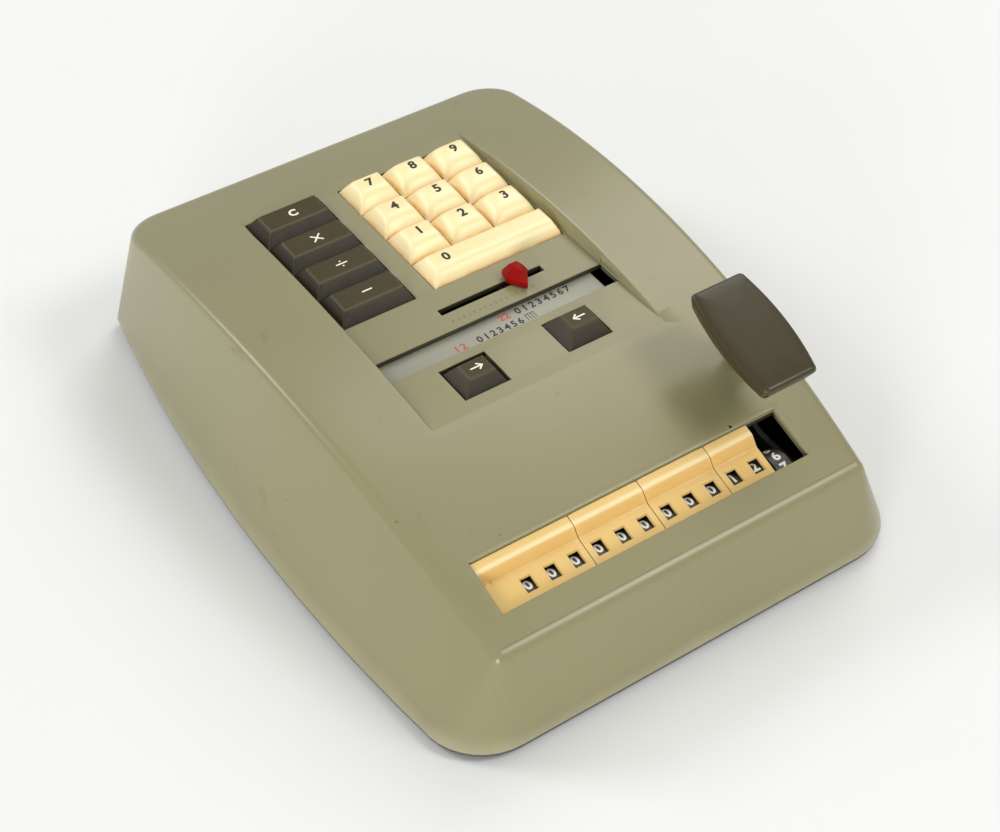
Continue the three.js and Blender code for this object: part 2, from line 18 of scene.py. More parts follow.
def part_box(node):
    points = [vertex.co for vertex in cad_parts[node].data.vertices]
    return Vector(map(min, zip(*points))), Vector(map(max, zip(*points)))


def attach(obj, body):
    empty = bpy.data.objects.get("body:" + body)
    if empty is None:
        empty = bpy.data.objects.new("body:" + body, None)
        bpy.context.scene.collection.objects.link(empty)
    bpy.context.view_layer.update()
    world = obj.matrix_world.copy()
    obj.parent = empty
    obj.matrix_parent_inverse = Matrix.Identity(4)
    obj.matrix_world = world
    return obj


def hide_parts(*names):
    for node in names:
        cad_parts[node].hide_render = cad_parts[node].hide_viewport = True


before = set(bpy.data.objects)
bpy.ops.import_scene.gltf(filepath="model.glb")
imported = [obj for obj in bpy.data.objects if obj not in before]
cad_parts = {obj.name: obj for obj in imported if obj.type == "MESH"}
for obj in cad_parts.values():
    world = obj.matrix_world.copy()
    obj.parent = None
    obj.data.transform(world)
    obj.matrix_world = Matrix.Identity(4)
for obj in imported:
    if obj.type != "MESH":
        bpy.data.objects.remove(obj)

LOG = logging.getLogger("calculator")
MM = 0.001
Point = tuple[float, float, float]
Colour = tuple[float, float, float]
Pair = tuple[float, float]
Placing = Callable[[float, float], Point]
Socket = bpy.types.NodeSocket


def box_mm(node: str) -> tuple[Vector, Vector]:
    """The lowest and highest corner of a CAD node.

    Args:
        node: the node's name.

    Returns:
        Both corners, in millimetres.
    """
    low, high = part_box(node)
    return low / MM, high / MM


def lerp(a: float, b: float, t: float) -> float:
    """The value a share t of the way from a to b."""
    return a + (b - a) * t


def smooth_step(t: float) -> float:
    """An ease from 0 to 1 as t goes from 0 to 1."""
    t = min(max(t, 0.0), 1.0)
    return t * t * (3 - 2 * t)


# ---- Finishes ---------------------------------------------------------------------------------


def tone(red: int, green: int, blue: int) -> Colour:
    """A paint-chart colour as the linear values that shaders use.

    Args:
        red: 0 to 255.
        green: 0 to 255.
        blue: 0 to 255.

    Returns:
        The three linear values.
    """

    def linear(value: int) -> float:
        """One channel made linear."""
        share = value / 255
        return share / 12.92 if share <= 0.04045 else ((share + 0.055) / 1.055) ** 2.4

    return linear(red), linear(green), linear(blue)


class Graph:
    """A material's node tree with short ways to add what the finishes share."""

    def __init__(self, name: str) -> None:
        """Starts a material with a Principled shader on Object coordinates.

        Args:
            name: the material's name.
        """
        self.material = bpy.data.materials.new(name)
        self.material.use_nodes = True
        self.tree = self.material.node_tree
        self.tree.nodes.clear()
        self.output = self.add("ShaderNodeOutputMaterial")
        self.shader = self.add("ShaderNodeBsdfPrincipled")
        self.join(self.shader.outputs["BSDF"], self.output.inputs["Surface"])
        self.place = self.add("ShaderNodeTexCoord").outputs["Object"]

    def add(self, kind: str) -> bpy.types.Node:
        """A new node of that kind."""
        return self.tree.nodes.new(kind)

    def join(self, source: Socket, target: Socket) -> None:
        """Links one socket to another."""
        self.tree.links.new(source, target)

    def noise(self, size_mm: float, detail: float = 2.0, stretch: Point = (1, 1, 1)) -> Socket:
        """Noise whose features are about size_mm across.

        Args:
            size_mm: the width of one feature.
            detail: octaves of finer noise.
            stretch: how often it repeats along each axis, against the others.

        Returns:
            The noise's value.
        """
        mapping = self.add("ShaderNodeMapping")
        mapping.inputs["Scale"].default_value = stretch
        self.join(self.place, mapping.inputs["Vector"])
        node = self.add("ShaderNodeTexNoise")
        node.inputs["Scale"].default_value = 1 / (size_mm * MM)
        node.inputs["Detail"].default_value = detail
        self.join(mapping.outputs["Vector"], node.inputs["Vector"])
        return node.outputs["Fac"]

    def spots(self, size_mm: float, radius: float) -> Socket:
        """Scattered round spots: 1 in a spot and 0 between them.

        Args:
            size_mm: the usual distance between spots.
            radius: a spot's radius as a share of that distance.

        Returns:
            The mask.
        """
        node = self.add("ShaderNodeTexVoronoi")
        node.inputs["Scale"].default_value = 1 / (size_mm * MM)
        self.join(self.place, node.inputs["Vector"])
        return self.span(node.outputs["Distance"], radius, radius * 0.6)

    def span(self, value: Socket, low: float, high: float) -> Socket:
        """The value's place between low and high, held from 0 to 1.

        Args:
            value: what is read.
            low: what becomes 0.
            high: what becomes 1.

        Returns:
            The share.
        """
        node = self.add("ShaderNodeMapRange")
        node.inputs["From Min"].default_value = low
        node.inputs["From Max"].default_value = high
        self.join(value, node.inputs["Value"])
        return node.outputs["Result"]

    def between(self, value: Socket, low: float, high: float) -> Socket:
        """A share from 0 to 1 spread out between low and high.

        Args:
            value: the share.
            low: what 0 becomes.
            high: what 1 becomes.

        Returns:
            The spread value.
        """
        node = self.add("ShaderNodeMapRange")
        node.inputs["To Min"].default_value = low
        node.inputs["To Max"].default_value = high
        self.join(value, node.inputs["Value"])
        return node.outputs["Result"]

    def worked(self, operation: str, a: Socket, b: Socket | float) -> Socket:
        """Two values put through one step of arithmetic.

        Args:
            operation: the step.
            a: the first value.
            b: the second value, or a fixed number.

        Returns:
            What comes out.
        """
        node = self.add("ShaderNodeMath")
        node.operation = operation
        self.join(a, node.inputs[0])
        if isinstance(b, Socket):
            self.join(b, node.inputs[1])
        else:
            node.inputs[1].default_value = b
        return node.outputs[0]

    def scaled(self, value: Socket, amount: float) -> Socket:
        """The value times an amount."""
        return self.worked("MULTIPLY", value, amount)

    def both(self, a: Socket, b: Socket) -> Socket:
        """The two values multiplied."""
        return self.worked("MULTIPLY", a, b)

    def sum(self, a: Socket, b: Socket) -> Socket:
        """The two values added."""
        return self.worked("ADD", a, b)

    def axis(self, name: str) -> Socket:
        """The place along X, Y or Z, in metres."""
        node = self.add("ShaderNodeSeparateXYZ")
        self.join(self.place, node.inputs[0])
        return node.outputs[name]

    def attribute(self, name: str) -> Socket:
        """The value of a piece's own attribute."""
        node = self.add("ShaderNodeAttribute")
        node.attribute_name = name
        return node.outputs["Fac"]

    def colour(self, value: Colour) -> Socket:
        """A fixed colour that other nodes mix."""
        node = self.add("ShaderNodeRGB")
        node.outputs[0].default_value = (*value, 1)
        return node.outputs[0]

    def blend(
        self, share: Socket, under: Socket, over: Colour
    ) -> Socket:
        """One colour laid over another by a share.

        Args:
            share: 0 shows the colour under, 1 the one over.
            under: the colour under.
            over: the colour over.

        Returns:
            The mixed colour.
        """
        node = self.add("ShaderNodeMix")
        node.data_type = "RGBA"
        self.join(share, node.inputs["Factor"])
        self.join(under, node.inputs["A"])
        node.inputs["B"].default_value = (*over, 1)
        return node.outputs["Result"]

    def edge(self, low: float = 0.52, high: float = 0.6) -> Socket:
        """How sharply the surface turns outwards, from 0 to 1.

        Args:
            low: the pointiness that counts as no edge.
            high: the pointiness of a full edge.

        Returns:
            The share.
        """
        return self.span(self.add("ShaderNodeNewGeometry").outputs["Pointiness"], low, high)

    def bump(self, *layers: tuple[Socket, float]) -> None:
        """Gives the shader a relief made of layers.

        Args:
            layers: each layer's height and how deep it is in millimetres.
        """
        normal = None
        for height, depth in layers:
            node = self.add("ShaderNodeBump")
            node.inputs["Strength"].default_value = 1.0
            node.inputs["Distance"].default_value = depth * MM
            self.join(height, node.inputs["Height"])
            if normal is not None:
                self.join(normal, node.inputs["Normal"])
            normal = node.outputs["Normal"]
        self.join(normal, self.shader.inputs["Normal"])

    def finish(self, colour: Socket, roughness: Socket) -> bpy.types.Material:
        """Joins the colour and roughness and gives the material back.

        Args:
            colour: the surface's colour.
            roughness: its roughness, from 0 to 1.

        Returns:
            The material.
        """
        self.join(colour, self.shader.inputs["Base Color"])
        self.join(roughness, self.shader.inputs["Roughness"])
        return self.material


@dataclass(frozen=True)
class Moulding:
    """A moulded plastic: satin grain, slow colour drift, specks, and edges worn by handling."""

    name: str
    colour: Colour
    drift: Colour
    worn: Colour
    speck: Colour
    roughness: float = 0.42
    grain_mm: float = 0.5
    grain_depth: float = 0.02
    drift_mm: float = 60.0
    drift_share: float = 0.6
    worn_share: float = 0.5
    speck_mm: float = 9.0
    speck_radius: float = 0.05
    speck_share: float = 0.5
    coat: float = 0.0
    glow: float = 0.0
    gloss: float = 0.5

    def make(self) -> bpy.types.Material:
        """The material."""
        graph = Graph(self.name)
        mixed = graph.colour(self.colour)
        slow = graph.span(graph.noise(self.drift_mm, 2.0), 0.2, 0.8)
        mixed = graph.blend(graph.scaled(slow, self.drift_share), mixed, self.drift)
        specks = graph.spots(self.speck_mm, self.speck_radius)
        some = graph.span(graph.noise(self.speck_mm * 3.1, 0.0), 0.5, 0.56)
        mixed = graph.blend(graph.scaled(graph.both(specks, some), self.speck_share), mixed, self.speck)
        mixed = self.marks(graph, mixed)
        mixed = graph.blend(graph.scaled(graph.edge(), self.worn_share), mixed, self.worn)
        grain = graph.noise(self.grain_mm, 2.0)
        handled = graph.span(graph.noise(self.drift_mm * 0.4, 2.0), 0.1, 0.9)
        rough = graph.between(handled, self.roughness - 0.03, self.roughness + 0.04)
        graph.bump((graph.noise(self.drift_mm * 0.3, 0.0), self.grain_depth * 2), (grain, self.grain_depth))
        graph.shader.inputs["Coat Weight"].default_value = self.coat
        graph.shader.inputs["Coat Roughness"].default_value = 0.25
        graph.shader.inputs["Specular IOR Level"].default_value = self.gloss
        if self.glow:
            graph.shader.inputs["Subsurface Weight"].default_value = self.glow
            graph.shader.inputs["Subsurface Radius"].default_value = (0.002, 0.0012, 0.0006)
            graph.shader.inputs["Subsurface Scale"].default_value = 0.5
        return graph.finish(mixed, rough)

    def marks(self, graph: Graph, under: Socket) -> Socket:
        """Marks that only some mouldings have: none on this one."""
        return under


@dataclass(frozen=True)
class CasingMoulding(Moulding):
    """The casing's plastic, with fine scratches, faint stains, darker patches near the hem and painted shade
    on the inner faces of its openings.
    """

    stain: Colour = field(default_factory=lambda: tone(122, 96, 58))
    scratch: Colour = field(default_factory=lambda: tone(118, 112, 84))
    # hem: the tone of the patches that darken the casing towards the bottom.
    hem: Colour = field(default_factory=lambda: tone(128, 122, 100))
    grey: Colour = field(default_factory=lambda: tone(152, 150, 124))
    # inside: near-black painted shade laid on the inner faces of the openings.
    inside: Colour = field(default_factory=lambda: tone(34, 30, 22))
    inside_share: float = 0.9
    panel_x: Pair = (-0.0456, 0.0456)
    panel_y: Pair = (-0.041, 0.085)
    panel_under: Pair = (0.05775, 0.0576)
    window_x: Pair = (-0.0615, 0.0605)
    window_y: Pair = (-0.1025, -0.057)
    window_under: Pair = (0.0695, 0.0692)
    window_fall: float = -0.27

    def marks(self, graph: Graph, under: Socket) -> Socket:
        """The scratches, the stains, the darker patches near the hem and the painted shade on the inner faces
        of the openings.

        Args:
            graph: the material's nodes.
            under: the colour so far.

        Returns:
            The colour with the marks.
        """
        back = graph.span(graph.axis("Y"), -0.04, 0.12)
        mixed = graph.blend(graph.scaled(back, 0.35), under, self.grey)
        lines = graph.span(graph.noise(7.0, 1.0, (9.0, 0.6, 1.0)), 0.74, 0.78)
        where = graph.span(graph.noise(42.0, 1.0), 0.52, 0.62)
        mixed = graph.blend(graph.scaled(graph.both(lines, where), 0.5), mixed, self.scratch)
        blots = graph.span(graph.noise(16.0, 5.0), 0.7, 0.78)
        mixed = graph.blend(graph.scaled(blots, 0.35), mixed, self.stain)
        # Patches darker towards the bottom, up to about a centimetre over the floor.
        low = graph.span(graph.axis("Z"), 0.012, 0.003)
        darker_low_patches = graph.both(low, graph.span(graph.noise(12.0, 3.0), 0.35, 0.7))
        mixed = graph.blend(graph.scaled(darker_low_patches, 0.6), mixed, self.hem)
        # Painted shade: the inner faces below the panel and round the register and lever openings turn near
        # black.
        panel = self.zone(graph, self.panel_x, self.panel_y)
        panel = graph.both(panel, graph.span(graph.axis("Z"), *self.panel_under))
        window = self.zone(graph, self.window_x, self.window_y)
        tilted = graph.sum(graph.axis("Z"), graph.scaled(graph.axis("Y"), self.window_fall))
        window = graph.both(window, graph.span(tilted, *self.window_under))
        mixed = graph.blend(graph.scaled(panel, self.inside_share), mixed, self.inside)
        return graph.blend(graph.scaled(window, self.inside_share), mixed, self.inside)

    def zone(self, graph: Graph, x: Pair, y: Pair) -> Socket:
        """1 inside an upright box and 0 outside it.

        Args:
            graph: the material's nodes.
            x: the box's left and right, in metres.
            y: its front and back, in metres.

        Returns:
            The mask.
        """
        edge = 0.1 * MM

        def stretch(name: str, low: float, high: float) -> Socket:
            """1 between two places along an axis."""
            place = graph.axis(name)
            return graph.both(graph.span(place, low - edge, low), graph.span(place, high + edge, high))

        return graph.both(stretch("X", *x), stretch("Y", *y))


@dataclass(frozen=True)
class KeyMoulding(Moulding):
    """A key's plastic, with a painted highlight on its creases and painted shade on its slopes and at their
    foot.
    """

    # A lighter tone painted along the creases as a highlight.
    crease: Colour = (0.9, 0.85, 0.6)
    crease_share: float = 0.4
    # low: a darker tone painted as shade at the foot of the slopes, broken up by noise.
    low: Colour = (0.7, 0.4, 0.15)
    low_share: float = 0.5
    # side: the slopes painted darker than the land, as shade.
    side: Colour = (0.5, 0.5, 0.5)
    side_share: float = 0.8

    def marks(self, graph: Graph, under: Socket) -> Socket:
        """The painted highlight on the creases, and the painted shade on the slopes and at their foot.

        Args:
            graph: the material's nodes.
            under: the colour so far.

        Returns:
            The colour with the marks.
        """
        # Painted shade at the foot of the slopes, in patches.
        foot = graph.both(graph.attribute("foot"), graph.span(graph.noise(5.0, 2.0), 0.2, 0.6))
        # Painted shade on the slopes.
        mixed = graph.blend(graph.scaled(graph.attribute("side"), self.side_share), under, self.side)
        mixed = graph.blend(graph.scaled(foot, self.low_share), mixed, self.low)
        # Painted highlight along the creases.
        return graph.blend(graph.scaled(graph.attribute("crease"), self.crease_share), mixed, self.crease)


@dataclass(frozen=True)
class Metal:
    """A bare or plated metal with machining lines and dull patches."""

    name: str
    colour: Colour
    dull: Colour
    roughness: float = 0.35
    line_mm: float = 1.2
    stretch: Point = (0.1, 1.0, 1.0)

    def make(self) -> bpy.types.Material:
        """The material."""
        graph = Graph(self.name)
        patch = graph.span(graph.noise(14.0, 4.0), 0.35, 0.7)
        mixed = graph.blend(graph.scaled(patch, 0.6), graph.colour(self.colour), self.dull)
        lines = graph.noise(self.line_mm, 3.0, self.stretch)
        rough = graph.between(patch, self.roughness - 0.08, self.roughness + 0.18)
        graph.bump((lines, 0.03))
        graph.shader.inputs["Metallic"].default_value = 0.9
        return graph.finish(mixed, rough)


@dataclass(frozen=True)
class Ink:
    """Printing or filled lettering: flat ink with tiny thin places."""

    name: str
    colour: Colour
    thin: Colour
    roughness: float = 0.5

    def make(self) -> bpy.types.Material:
        """The material."""
        graph = Graph(self.name)
        mottled = graph.span(graph.noise(0.8, 3.0), 0.5, 0.75)
        mixed = graph.blend(graph.scaled(mottled, 0.35), graph.colour(self.colour), self.thin)
        rough = graph.between(mottled, self.roughness, self.roughness + 0.2)
        graph.bump((graph.noise(0.3, 1.0), 0.01))
        return graph.finish(mixed, rough)


class Finish(Enum):
    """Every finish of the machine."""

    CASING = CasingMoulding(
        "casing_plastic", tone(143, 137, 99), tone(137, 131, 94), tone(196, 190, 160), tone(84, 76, 50),
        roughness=0.29, grain_mm=0.6, grain_depth=0.008, speck_mm=11, worn_share=0.5,
    )
    # The key and mask mouldings paint a highlight on the creases and shade on the slopes and at their foot.
    CREAM = KeyMoulding(
        "cream_plastic", tone(252, 234, 178), tone(248, 226, 162), tone(255, 246, 208), tone(190, 150, 90),
        roughness=0.3, grain_mm=0.9, grain_depth=0.006, drift_mm=14, speck_mm=6, speck_share=0.3, glow=0.12,
        crease=tone(255, 242, 196), crease_share=0.45, low=tone(214, 142, 62), low_share=0.6,
        side=tone(250, 228, 168), side_share=0.85,
    )
    DARK = KeyMoulding(
        "dark_plastic", tone(68, 60, 36), tone(74, 66, 43), tone(116, 108, 80), tone(124, 116, 92),
        roughness=0.4, grain_mm=0.4, grain_depth=0.012, drift_mm=10, speck_mm=5, speck_share=0.35,
        worn_share=0.2, crease=tone(128, 120, 90), crease_share=0.38, low=tone(30, 25, 14), low_share=0.75,
        side=tone(48, 41, 24), side_share=0.95, gloss=0.2,
    )
    PAD = Moulding(
        "pad_plastic", tone(64, 56, 34), tone(59, 52, 31), tone(132, 124, 94), tone(112, 104, 78),
        roughness=0.27, grain_mm=0.5, grain_depth=0.006, drift_mm=25, speck_mm=7, coat=0.06,
        worn_share=0.35, gloss=0.28,
    )
    MASK = KeyMoulding(
        "mask_plastic", tone(233, 198, 125), tone(228, 188, 110), tone(248, 224, 168), tone(196, 150, 90),
        roughness=0.32, grain_mm=0.7, grain_depth=0.01, drift_mm=12, speck_mm=4, speck_share=0.25, glow=0.1,
        crease=tone(252, 236, 190), crease_share=0.7, low=tone(222, 166, 82), low_share=0.6,
        side=tone(228, 182, 102), side_share=0.7, worn_share=0.2, gloss=0.35,
    )
    WHEEL = Moulding(
        "wheel_plastic", tone(40, 37, 32), tone(48, 45, 39), tone(84, 80, 72), tone(70, 64, 54),
        roughness=0.4, grain_mm=0.4, drift_mm=5,
    )
    RED = Moulding(
        "red_plastic", tone(152, 9, 2), tone(130, 6, 2), tone(200, 44, 24), tone(100, 6, 3),
        roughness=0.4, grain_mm=0.5, grain_depth=0.01, drift_mm=4, worn_share=0.12, gloss=0.12,
    )
    STRIP = Moulding(
        "strip_enamel", tone(144, 143, 122), tone(136, 135, 113), tone(184, 182, 168), tone(120, 116, 100),
        roughness=0.35, grain_mm=0.8, grain_depth=0.006, drift_mm=9, speck_mm=4,
    )
    BASE = Moulding(
        "base_enamel", tone(66, 66, 62), tone(54, 54, 50), tone(112, 110, 104), tone(96, 92, 84),
        roughness=0.5, grain_mm=0.5, grain_depth=0.02, drift_mm=20,
    )
    RUBBER = Moulding(
        "foot_rubber", tone(44, 43, 41), tone(54, 53, 50), tone(70, 69, 66), tone(80, 78, 72),
        roughness=0.75, grain_mm=0.3, grain_depth=0.03, drift_mm=5,
    )
    STEEL = Metal("bright_steel", tone(176, 178, 178), tone(132, 132, 128))
    GREY_STEEL = Metal("grey_steel", tone(128, 128, 122), tone(96, 96, 90), roughness=0.45)
    BRASS = Metal("carriage_brass", tone(190, 160, 92), tone(140, 116, 66))
    BLACK_INK = Ink("black_ink", tone(34, 31, 28), tone(74, 68, 58))
    IVORY_INK = Ink("ivory_filling", tone(246, 240, 218), tone(224, 214, 182))
    WHITE_INK = Ink("white_ink", tone(240, 238, 228), tone(198, 194, 180))
    RED_INK = Ink("red_ink", tone(196, 78, 64), tone(206, 140, 124))
    TICK_INK = Ink("tick_ink", tone(118, 110, 82), tone(150, 144, 114))


class Finishes:
    """Makes each finish's material once."""

    made: dict[Finish, bpy.types.Material] = {}

    @classmethod
    def of(cls, finish: Finish) -> bpy.types.Material:
        """The material of a finish.

        Args:
            finish: which finish.

        Returns:
            Its material.
        """
        if finish not in cls.made:
            cls.made[finish] = finish.value.make()
        return cls.made[finish]


# ---- Mesh helpers -----------------------------------------------------------------------------


def shade(mesh: bpy.types.Mesh, angle: float) -> None:
    """Shades a mesh smooth, but for the edges sharper than an angle in degrees."""
    mesh.shade_smooth()
    mesh.set_sharp_from_angle(angle=math.radians(angle))


def into_object(
    name: str, bm: bmesh.types.BMesh, finish: Finish | None, angle: float = 32
) -> bpy.types.Object:
    """Makes an object of a bmesh drawn in millimetres, smooth but for its sharp edges.

    Args:
        name: the object's name.
        bm: the shape, which is freed.
        finish: its finish, or None for a tool that is removed later.
        angle: edges sharper than this many degrees stay sharp.

    Returns:
        The object, in metres, at the origin.
    """
    bmesh.ops.scale(bm, vec=(MM, MM, MM), verts=bm.verts)
    mesh = bpy.data.meshes.new(name)
    bm.to_mesh(mesh)
    bm.free()
    shade(mesh, angle)
    piece = bpy.data.objects.new(name, mesh)
    bpy.context.scene.collection.objects.link(piece)
    if finish is not None:
        mesh.materials.append(Finishes.of(finish))
    return piece


def evaluated(piece: bpy.types.Object) -> bpy.types.Mesh:
    """A new mesh with the piece's modifiers applied."""
    bpy.context.view_layer.update()
    graph = bpy.context.evaluated_depsgraph_get()
    return bpy.data.meshes.new_from_object(piece.evaluated_get(graph))


def carve(body: bpy.types.Object, tool: bpy.types.Object, join: bool = False) -> None:
    """Cuts a closed tool out of a closed body, or joins the two, and removes the tool.

    Args:
        body: what is cut.
        tool: what it is cut with.
        join: True to add the tool instead.
    """
    modifier = body.modifiers.new("carve", "BOOLEAN")
    modifier.operation = "UNION" if join else "DIFFERENCE"
    modifier.solver = "EXACT"
    modifier.object = tool
    mesh = evaluated(body)
    body.modifiers.clear()
    old = body.data
    body.data = mesh
    bpy.data.meshes.remove(old)
    bpy.data.objects.remove(tool)


def soften(bm: bmesh.types.BMesh, width: float, angle: float = 40, segments: int = 2) -> None:
    """Rounds every edge sharper than an angle.

    Args:
        bm: the shape.
        width: the rounding's width in millimetres.
        angle: the least angle between an edge's faces, in degrees.
        segments: how many facets the rounding has.
    """
    least = math.radians(angle)
    edges = [e for e in bm.edges if len(e.link_faces) == 2 and e.calc_face_angle(0) > least]
    bmesh.ops.bevel(
        bm, geom=edges, offset=width, offset_type="OFFSET", segments=segments, profile=0.5,
        affect="EDGES", clamp_overlap=True, material=-1,
    )


def block(bm: bmesh.types.BMesh, low: Point, high: Point) -> list[bmesh.types.BMVert]:
    """Adds a box between two corners.

    Args:
        bm: the shape it is added to.
        low: the lowest corner.
        high: the highest corner.

    Returns:
        The box's vertices.
    """
    made = bmesh.ops.create_cube(bm, size=1)["verts"]
    bmesh.ops.scale(bm, vec=[b - a for a, b in zip(low, high)], verts=made)
    bmesh.ops.translate(bm, vec=[(a + b) / 2 for a, b in zip(low, high)], verts=made)
    return made


def turned(profile: list[Pair], steps: int) -> bmesh.types.BMesh:
    """Turns a closed profile of (radius, height) about Z.

    Args:
        profile: the profile's corners, none on the axis.
        steps: facets round the axis.

    Returns:
        The closed ring.
    """
    bm = bmesh.new()
    verts = [bm.verts.new((radius, 0, height)) for radius, height in profile]
    edges = [bm.edges.new((a, b)) for a, b in zip(verts, verts[1:] + verts[:1])]
    bmesh.ops.spin(
        bm, geom=verts + edges, cent=(0, 0, 0), axis=(0, 0, 1), angle=2 * math.pi, steps=steps, use_merge=True
    )
    bmesh.ops.remove_doubles(bm, verts=bm.verts, dist=0.001)
    bmesh.ops.recalc_face_normals(bm, faces=bm.faces)
    return bm


def next_ring(bm: bmesh.types.BMesh) -> list[bmesh.types.BMVert]:
    """Extrudes a shape's open rim once.

    Args:
        bm: the shape.

    Returns:
        The new rim's vertices, still where the old ones are.
    """
    made = bmesh.ops.extrude_edge_only(bm, edges=[e for e in bm.edges if e.is_boundary])["geom"]
    return [g for g in made if isinstance(g, bmesh.types.BMVert)]


def fill_rim(bm: bmesh.types.BMesh) -> None:
    """Closes a shape's open rim with a face."""
    bmesh.ops.holes_fill(bm, edges=[e for e in bm.edges if e.is_boundary], sides=0)


def stacked(outline: list[Pair], levels: list[Placing]) -> bmesh.types.BMesh:
    """A closed solid drawn up from a flat outline, one ring for each level.

    Args:
        outline: the plan's corners.
        levels: for each ring, where a corner of the plan goes.

    Returns:
        The solid.
    """
    bm = bmesh.new()
    index = bm.verts.layers.int.new("corner")
    ring = [bm.verts.new((x, y, 0)) for x, y in outline]
    for i, vert in enumerate(ring):
        vert[index] = i
        vert.co = levels[0](*outline[i])
    bm.faces.new(ring)
    for level in levels[1:]:
        for vert in next_ring(bm):
            vert.co = level(*outline[vert[index]])
    fill_rim(bm)
    bmesh.ops.recalc_face_normals(bm, faces=bm.faces)
    return bm


def raised(levels: list[Placing], steps: int) -> bmesh.types.BMesh:
    """A closed solid raised from a flat strip of quads, one ring for each level.

    Args:
        levels: for each ring, where the corner goes that is at (across, along), both from -1 to 1.
        steps: quads along the strip.

    Returns:
        The solid.
    """
    bm = bmesh.new()
    share = bm.verts.layers.float_vector.new("share")
    bmesh.ops.create_grid(bm, x_segments=1, y_segments=steps, size=1)
    for vert in bm.verts:
        vert[share] = vert.co
        vert.co = levels[0](vert[share].x, vert[share].y)
    for level in levels[1:]:
        for vert in next_ring(bm):
            vert.co = level(vert[share].x, vert[share].y)
    pairs: dict[float, list[bmesh.types.BMVert]] = {}
    for vert in {v for e in bm.edges if e.is_boundary for v in e.verts}:
        pairs.setdefault(round(vert[share].y, 4), []).append(vert)
    rows = [sorted(pairs[key], key=lambda v: v[share].x) for key in sorted(pairs)]
    for (a, b), (c, d) in zip(rows, rows[1:]):
        bmesh.ops.contextual_create(bm, geom=[a, b, d, c])
    bmesh.ops.recalc_face_normals(bm, faces=bm.faces)
    return bm


def sheet_cutter(
    x: Pair, y: Pair, levels: list[tuple[float, Callable[[float], float]]], steps: int = 24
) -> bmesh.types.BMesh:
    """A closed cutter over a rectangle, whose walls may flare as they rise to a curved face.

    Args:
        x: the opening's left and right.
        y: the opening's front and back.
        levels: for each ring, how far it stands outside the opening and its height at a given y.
        steps: stations along Y.

    Returns:
        The cutter.
    """
    middle = ((x[0] + x[1]) / 2, (y[0] + y[1]) / 2)
    half = ((x[1] - x[0]) / 2, (y[1] - y[0]) / 2)

    def ring(out: float, height: Callable[[float], float]) -> Placing:
        """A ring that stands outside the opening, at a height that may change along Y."""

        def place(across: float, along: float) -> Point:
            """Where a corner of the grid goes."""
            place_y = middle[1] + along * (half[1] + out)
            return middle[0] + across * (half[0] + out), place_y, height(place_y)

        return place

    return raised([ring(out, height) for out, height in levels], steps)


def merged(parts: list[bmesh.types.BMesh]) -> bmesh.types.BMesh:
    """One bmesh holding all the parts, which are freed."""
    whole = bmesh.new()
    for part in parts:
        mesh = bpy.data.meshes.new("part")
        part.to_mesh(mesh)
        part.free()
        whole.from_mesh(mesh)
        bpy.data.meshes.remove(mesh)
    return whole


# ---- Figures ----------------------------------------------------------------------------------


class Sign(Enum):
    """Signs that are drawn with strokes: each is a list of (x0, y0, x1, y1) in em halves."""

    LEFT = ((-1, 0, 1, 0), (-1, 0, -0.3, 0.62), (-1, 0, -0.3, -0.62))
    RIGHT = ((-1, 0, 1, 0), (1, 0, 0.3, 0.62), (1, 0, 0.3, -0.62))
    TIMES = ((-0.75, -0.75, 0.75, 0.75), (-0.75, 0.75, 0.75, -0.75))
    MINUS = ((-0.8, 0, 0.8, 0),)
    DIVIDE = ((-0.9, 0, 0.9, 0), (-0.02, 0.62, 0.02, 0.62), (-0.02, -0.62, 0.02, -0.62))


@dataclass
class Lettering:
    """Cuts figures and signs as thin raised shapes."""

    depth: float = 0.1
    spread: float = 0.035

    def figure(self, text: str, height: float) -> bmesh.types.BMesh:
        """A figure standing on the XY plane, centred on the origin.

        Args:
            text: the figure.
            height: how tall it is in millimetres.

        Returns:
            Its shape, with its face at Z 0.
        """
        curve = bpy.data.curves.new("figure", "FONT")
        curve.body = text
        curve.extrude = 0.05
        curve.offset = self.spread
        curve.resolution_u = 3
        carrier = bpy.data.objects.new("figure", curve)
        bpy.context.scene.collection.objects.link(carrier)
        mesh = evaluated(carrier)
        bpy.data.objects.remove(carrier)
        bm = bmesh.new()
        bm.from_mesh(mesh)
        bpy.data.meshes.remove(mesh)
        bmesh.ops.remove_doubles(bm, verts=bm.verts, dist=1e-5)
        xs, ys = [v.co.x for v in bm.verts], [v.co.y for v in bm.verts]
        middle = ((min(xs) + max(xs)) / 2, (min(ys) + max(ys)) / 2)
        scale = height / (max(ys) - min(ys))
        for vert in bm.verts:
            top = 0 if vert.co.z > 0 else -self.depth
            vert.co = ((vert.co.x - middle[0]) * scale, (vert.co.y - middle[1]) * scale, top)
        return bm

    def sign(self, sign: Sign, size: float, stroke: float) -> bmesh.types.BMesh:
        """A sign drawn with round-ended strokes.

        Args:
            sign: which sign.
            size: half its width in millimetres.
            stroke: a stroke's width in millimetres.

        Returns:
            Its shape, with its face at Z 0.
        """
        parts = []
        for number, (x0, y0, x1, y1) in enumerate(sign.value):
            start, end = Vector((x0, y0)) * size, Vector((x1, y1)) * size
            way = (end - start).normalized()
            side = Vector((-way.y, way.x)) * stroke / 2
            outline = []
            for centre, first in ((end, -90), (start, 90)):
                for k in range(7):
                    turn = math.radians(first + 30 * k)
                    point = centre + way * math.cos(turn) * stroke / 2 + side * math.sin(turn)
                    outline.append((point.x, point.y))
            low = -self.depth - 0.002 * number
            high = 0.004 * number
            parts.append(stacked(outline, [lambda x, y, z=low: (x, y, z), lambda x, y, z=high: (x, y, z)]))
        return merged(parts)


# ---- The casing -------------------------------------------------------------------------------


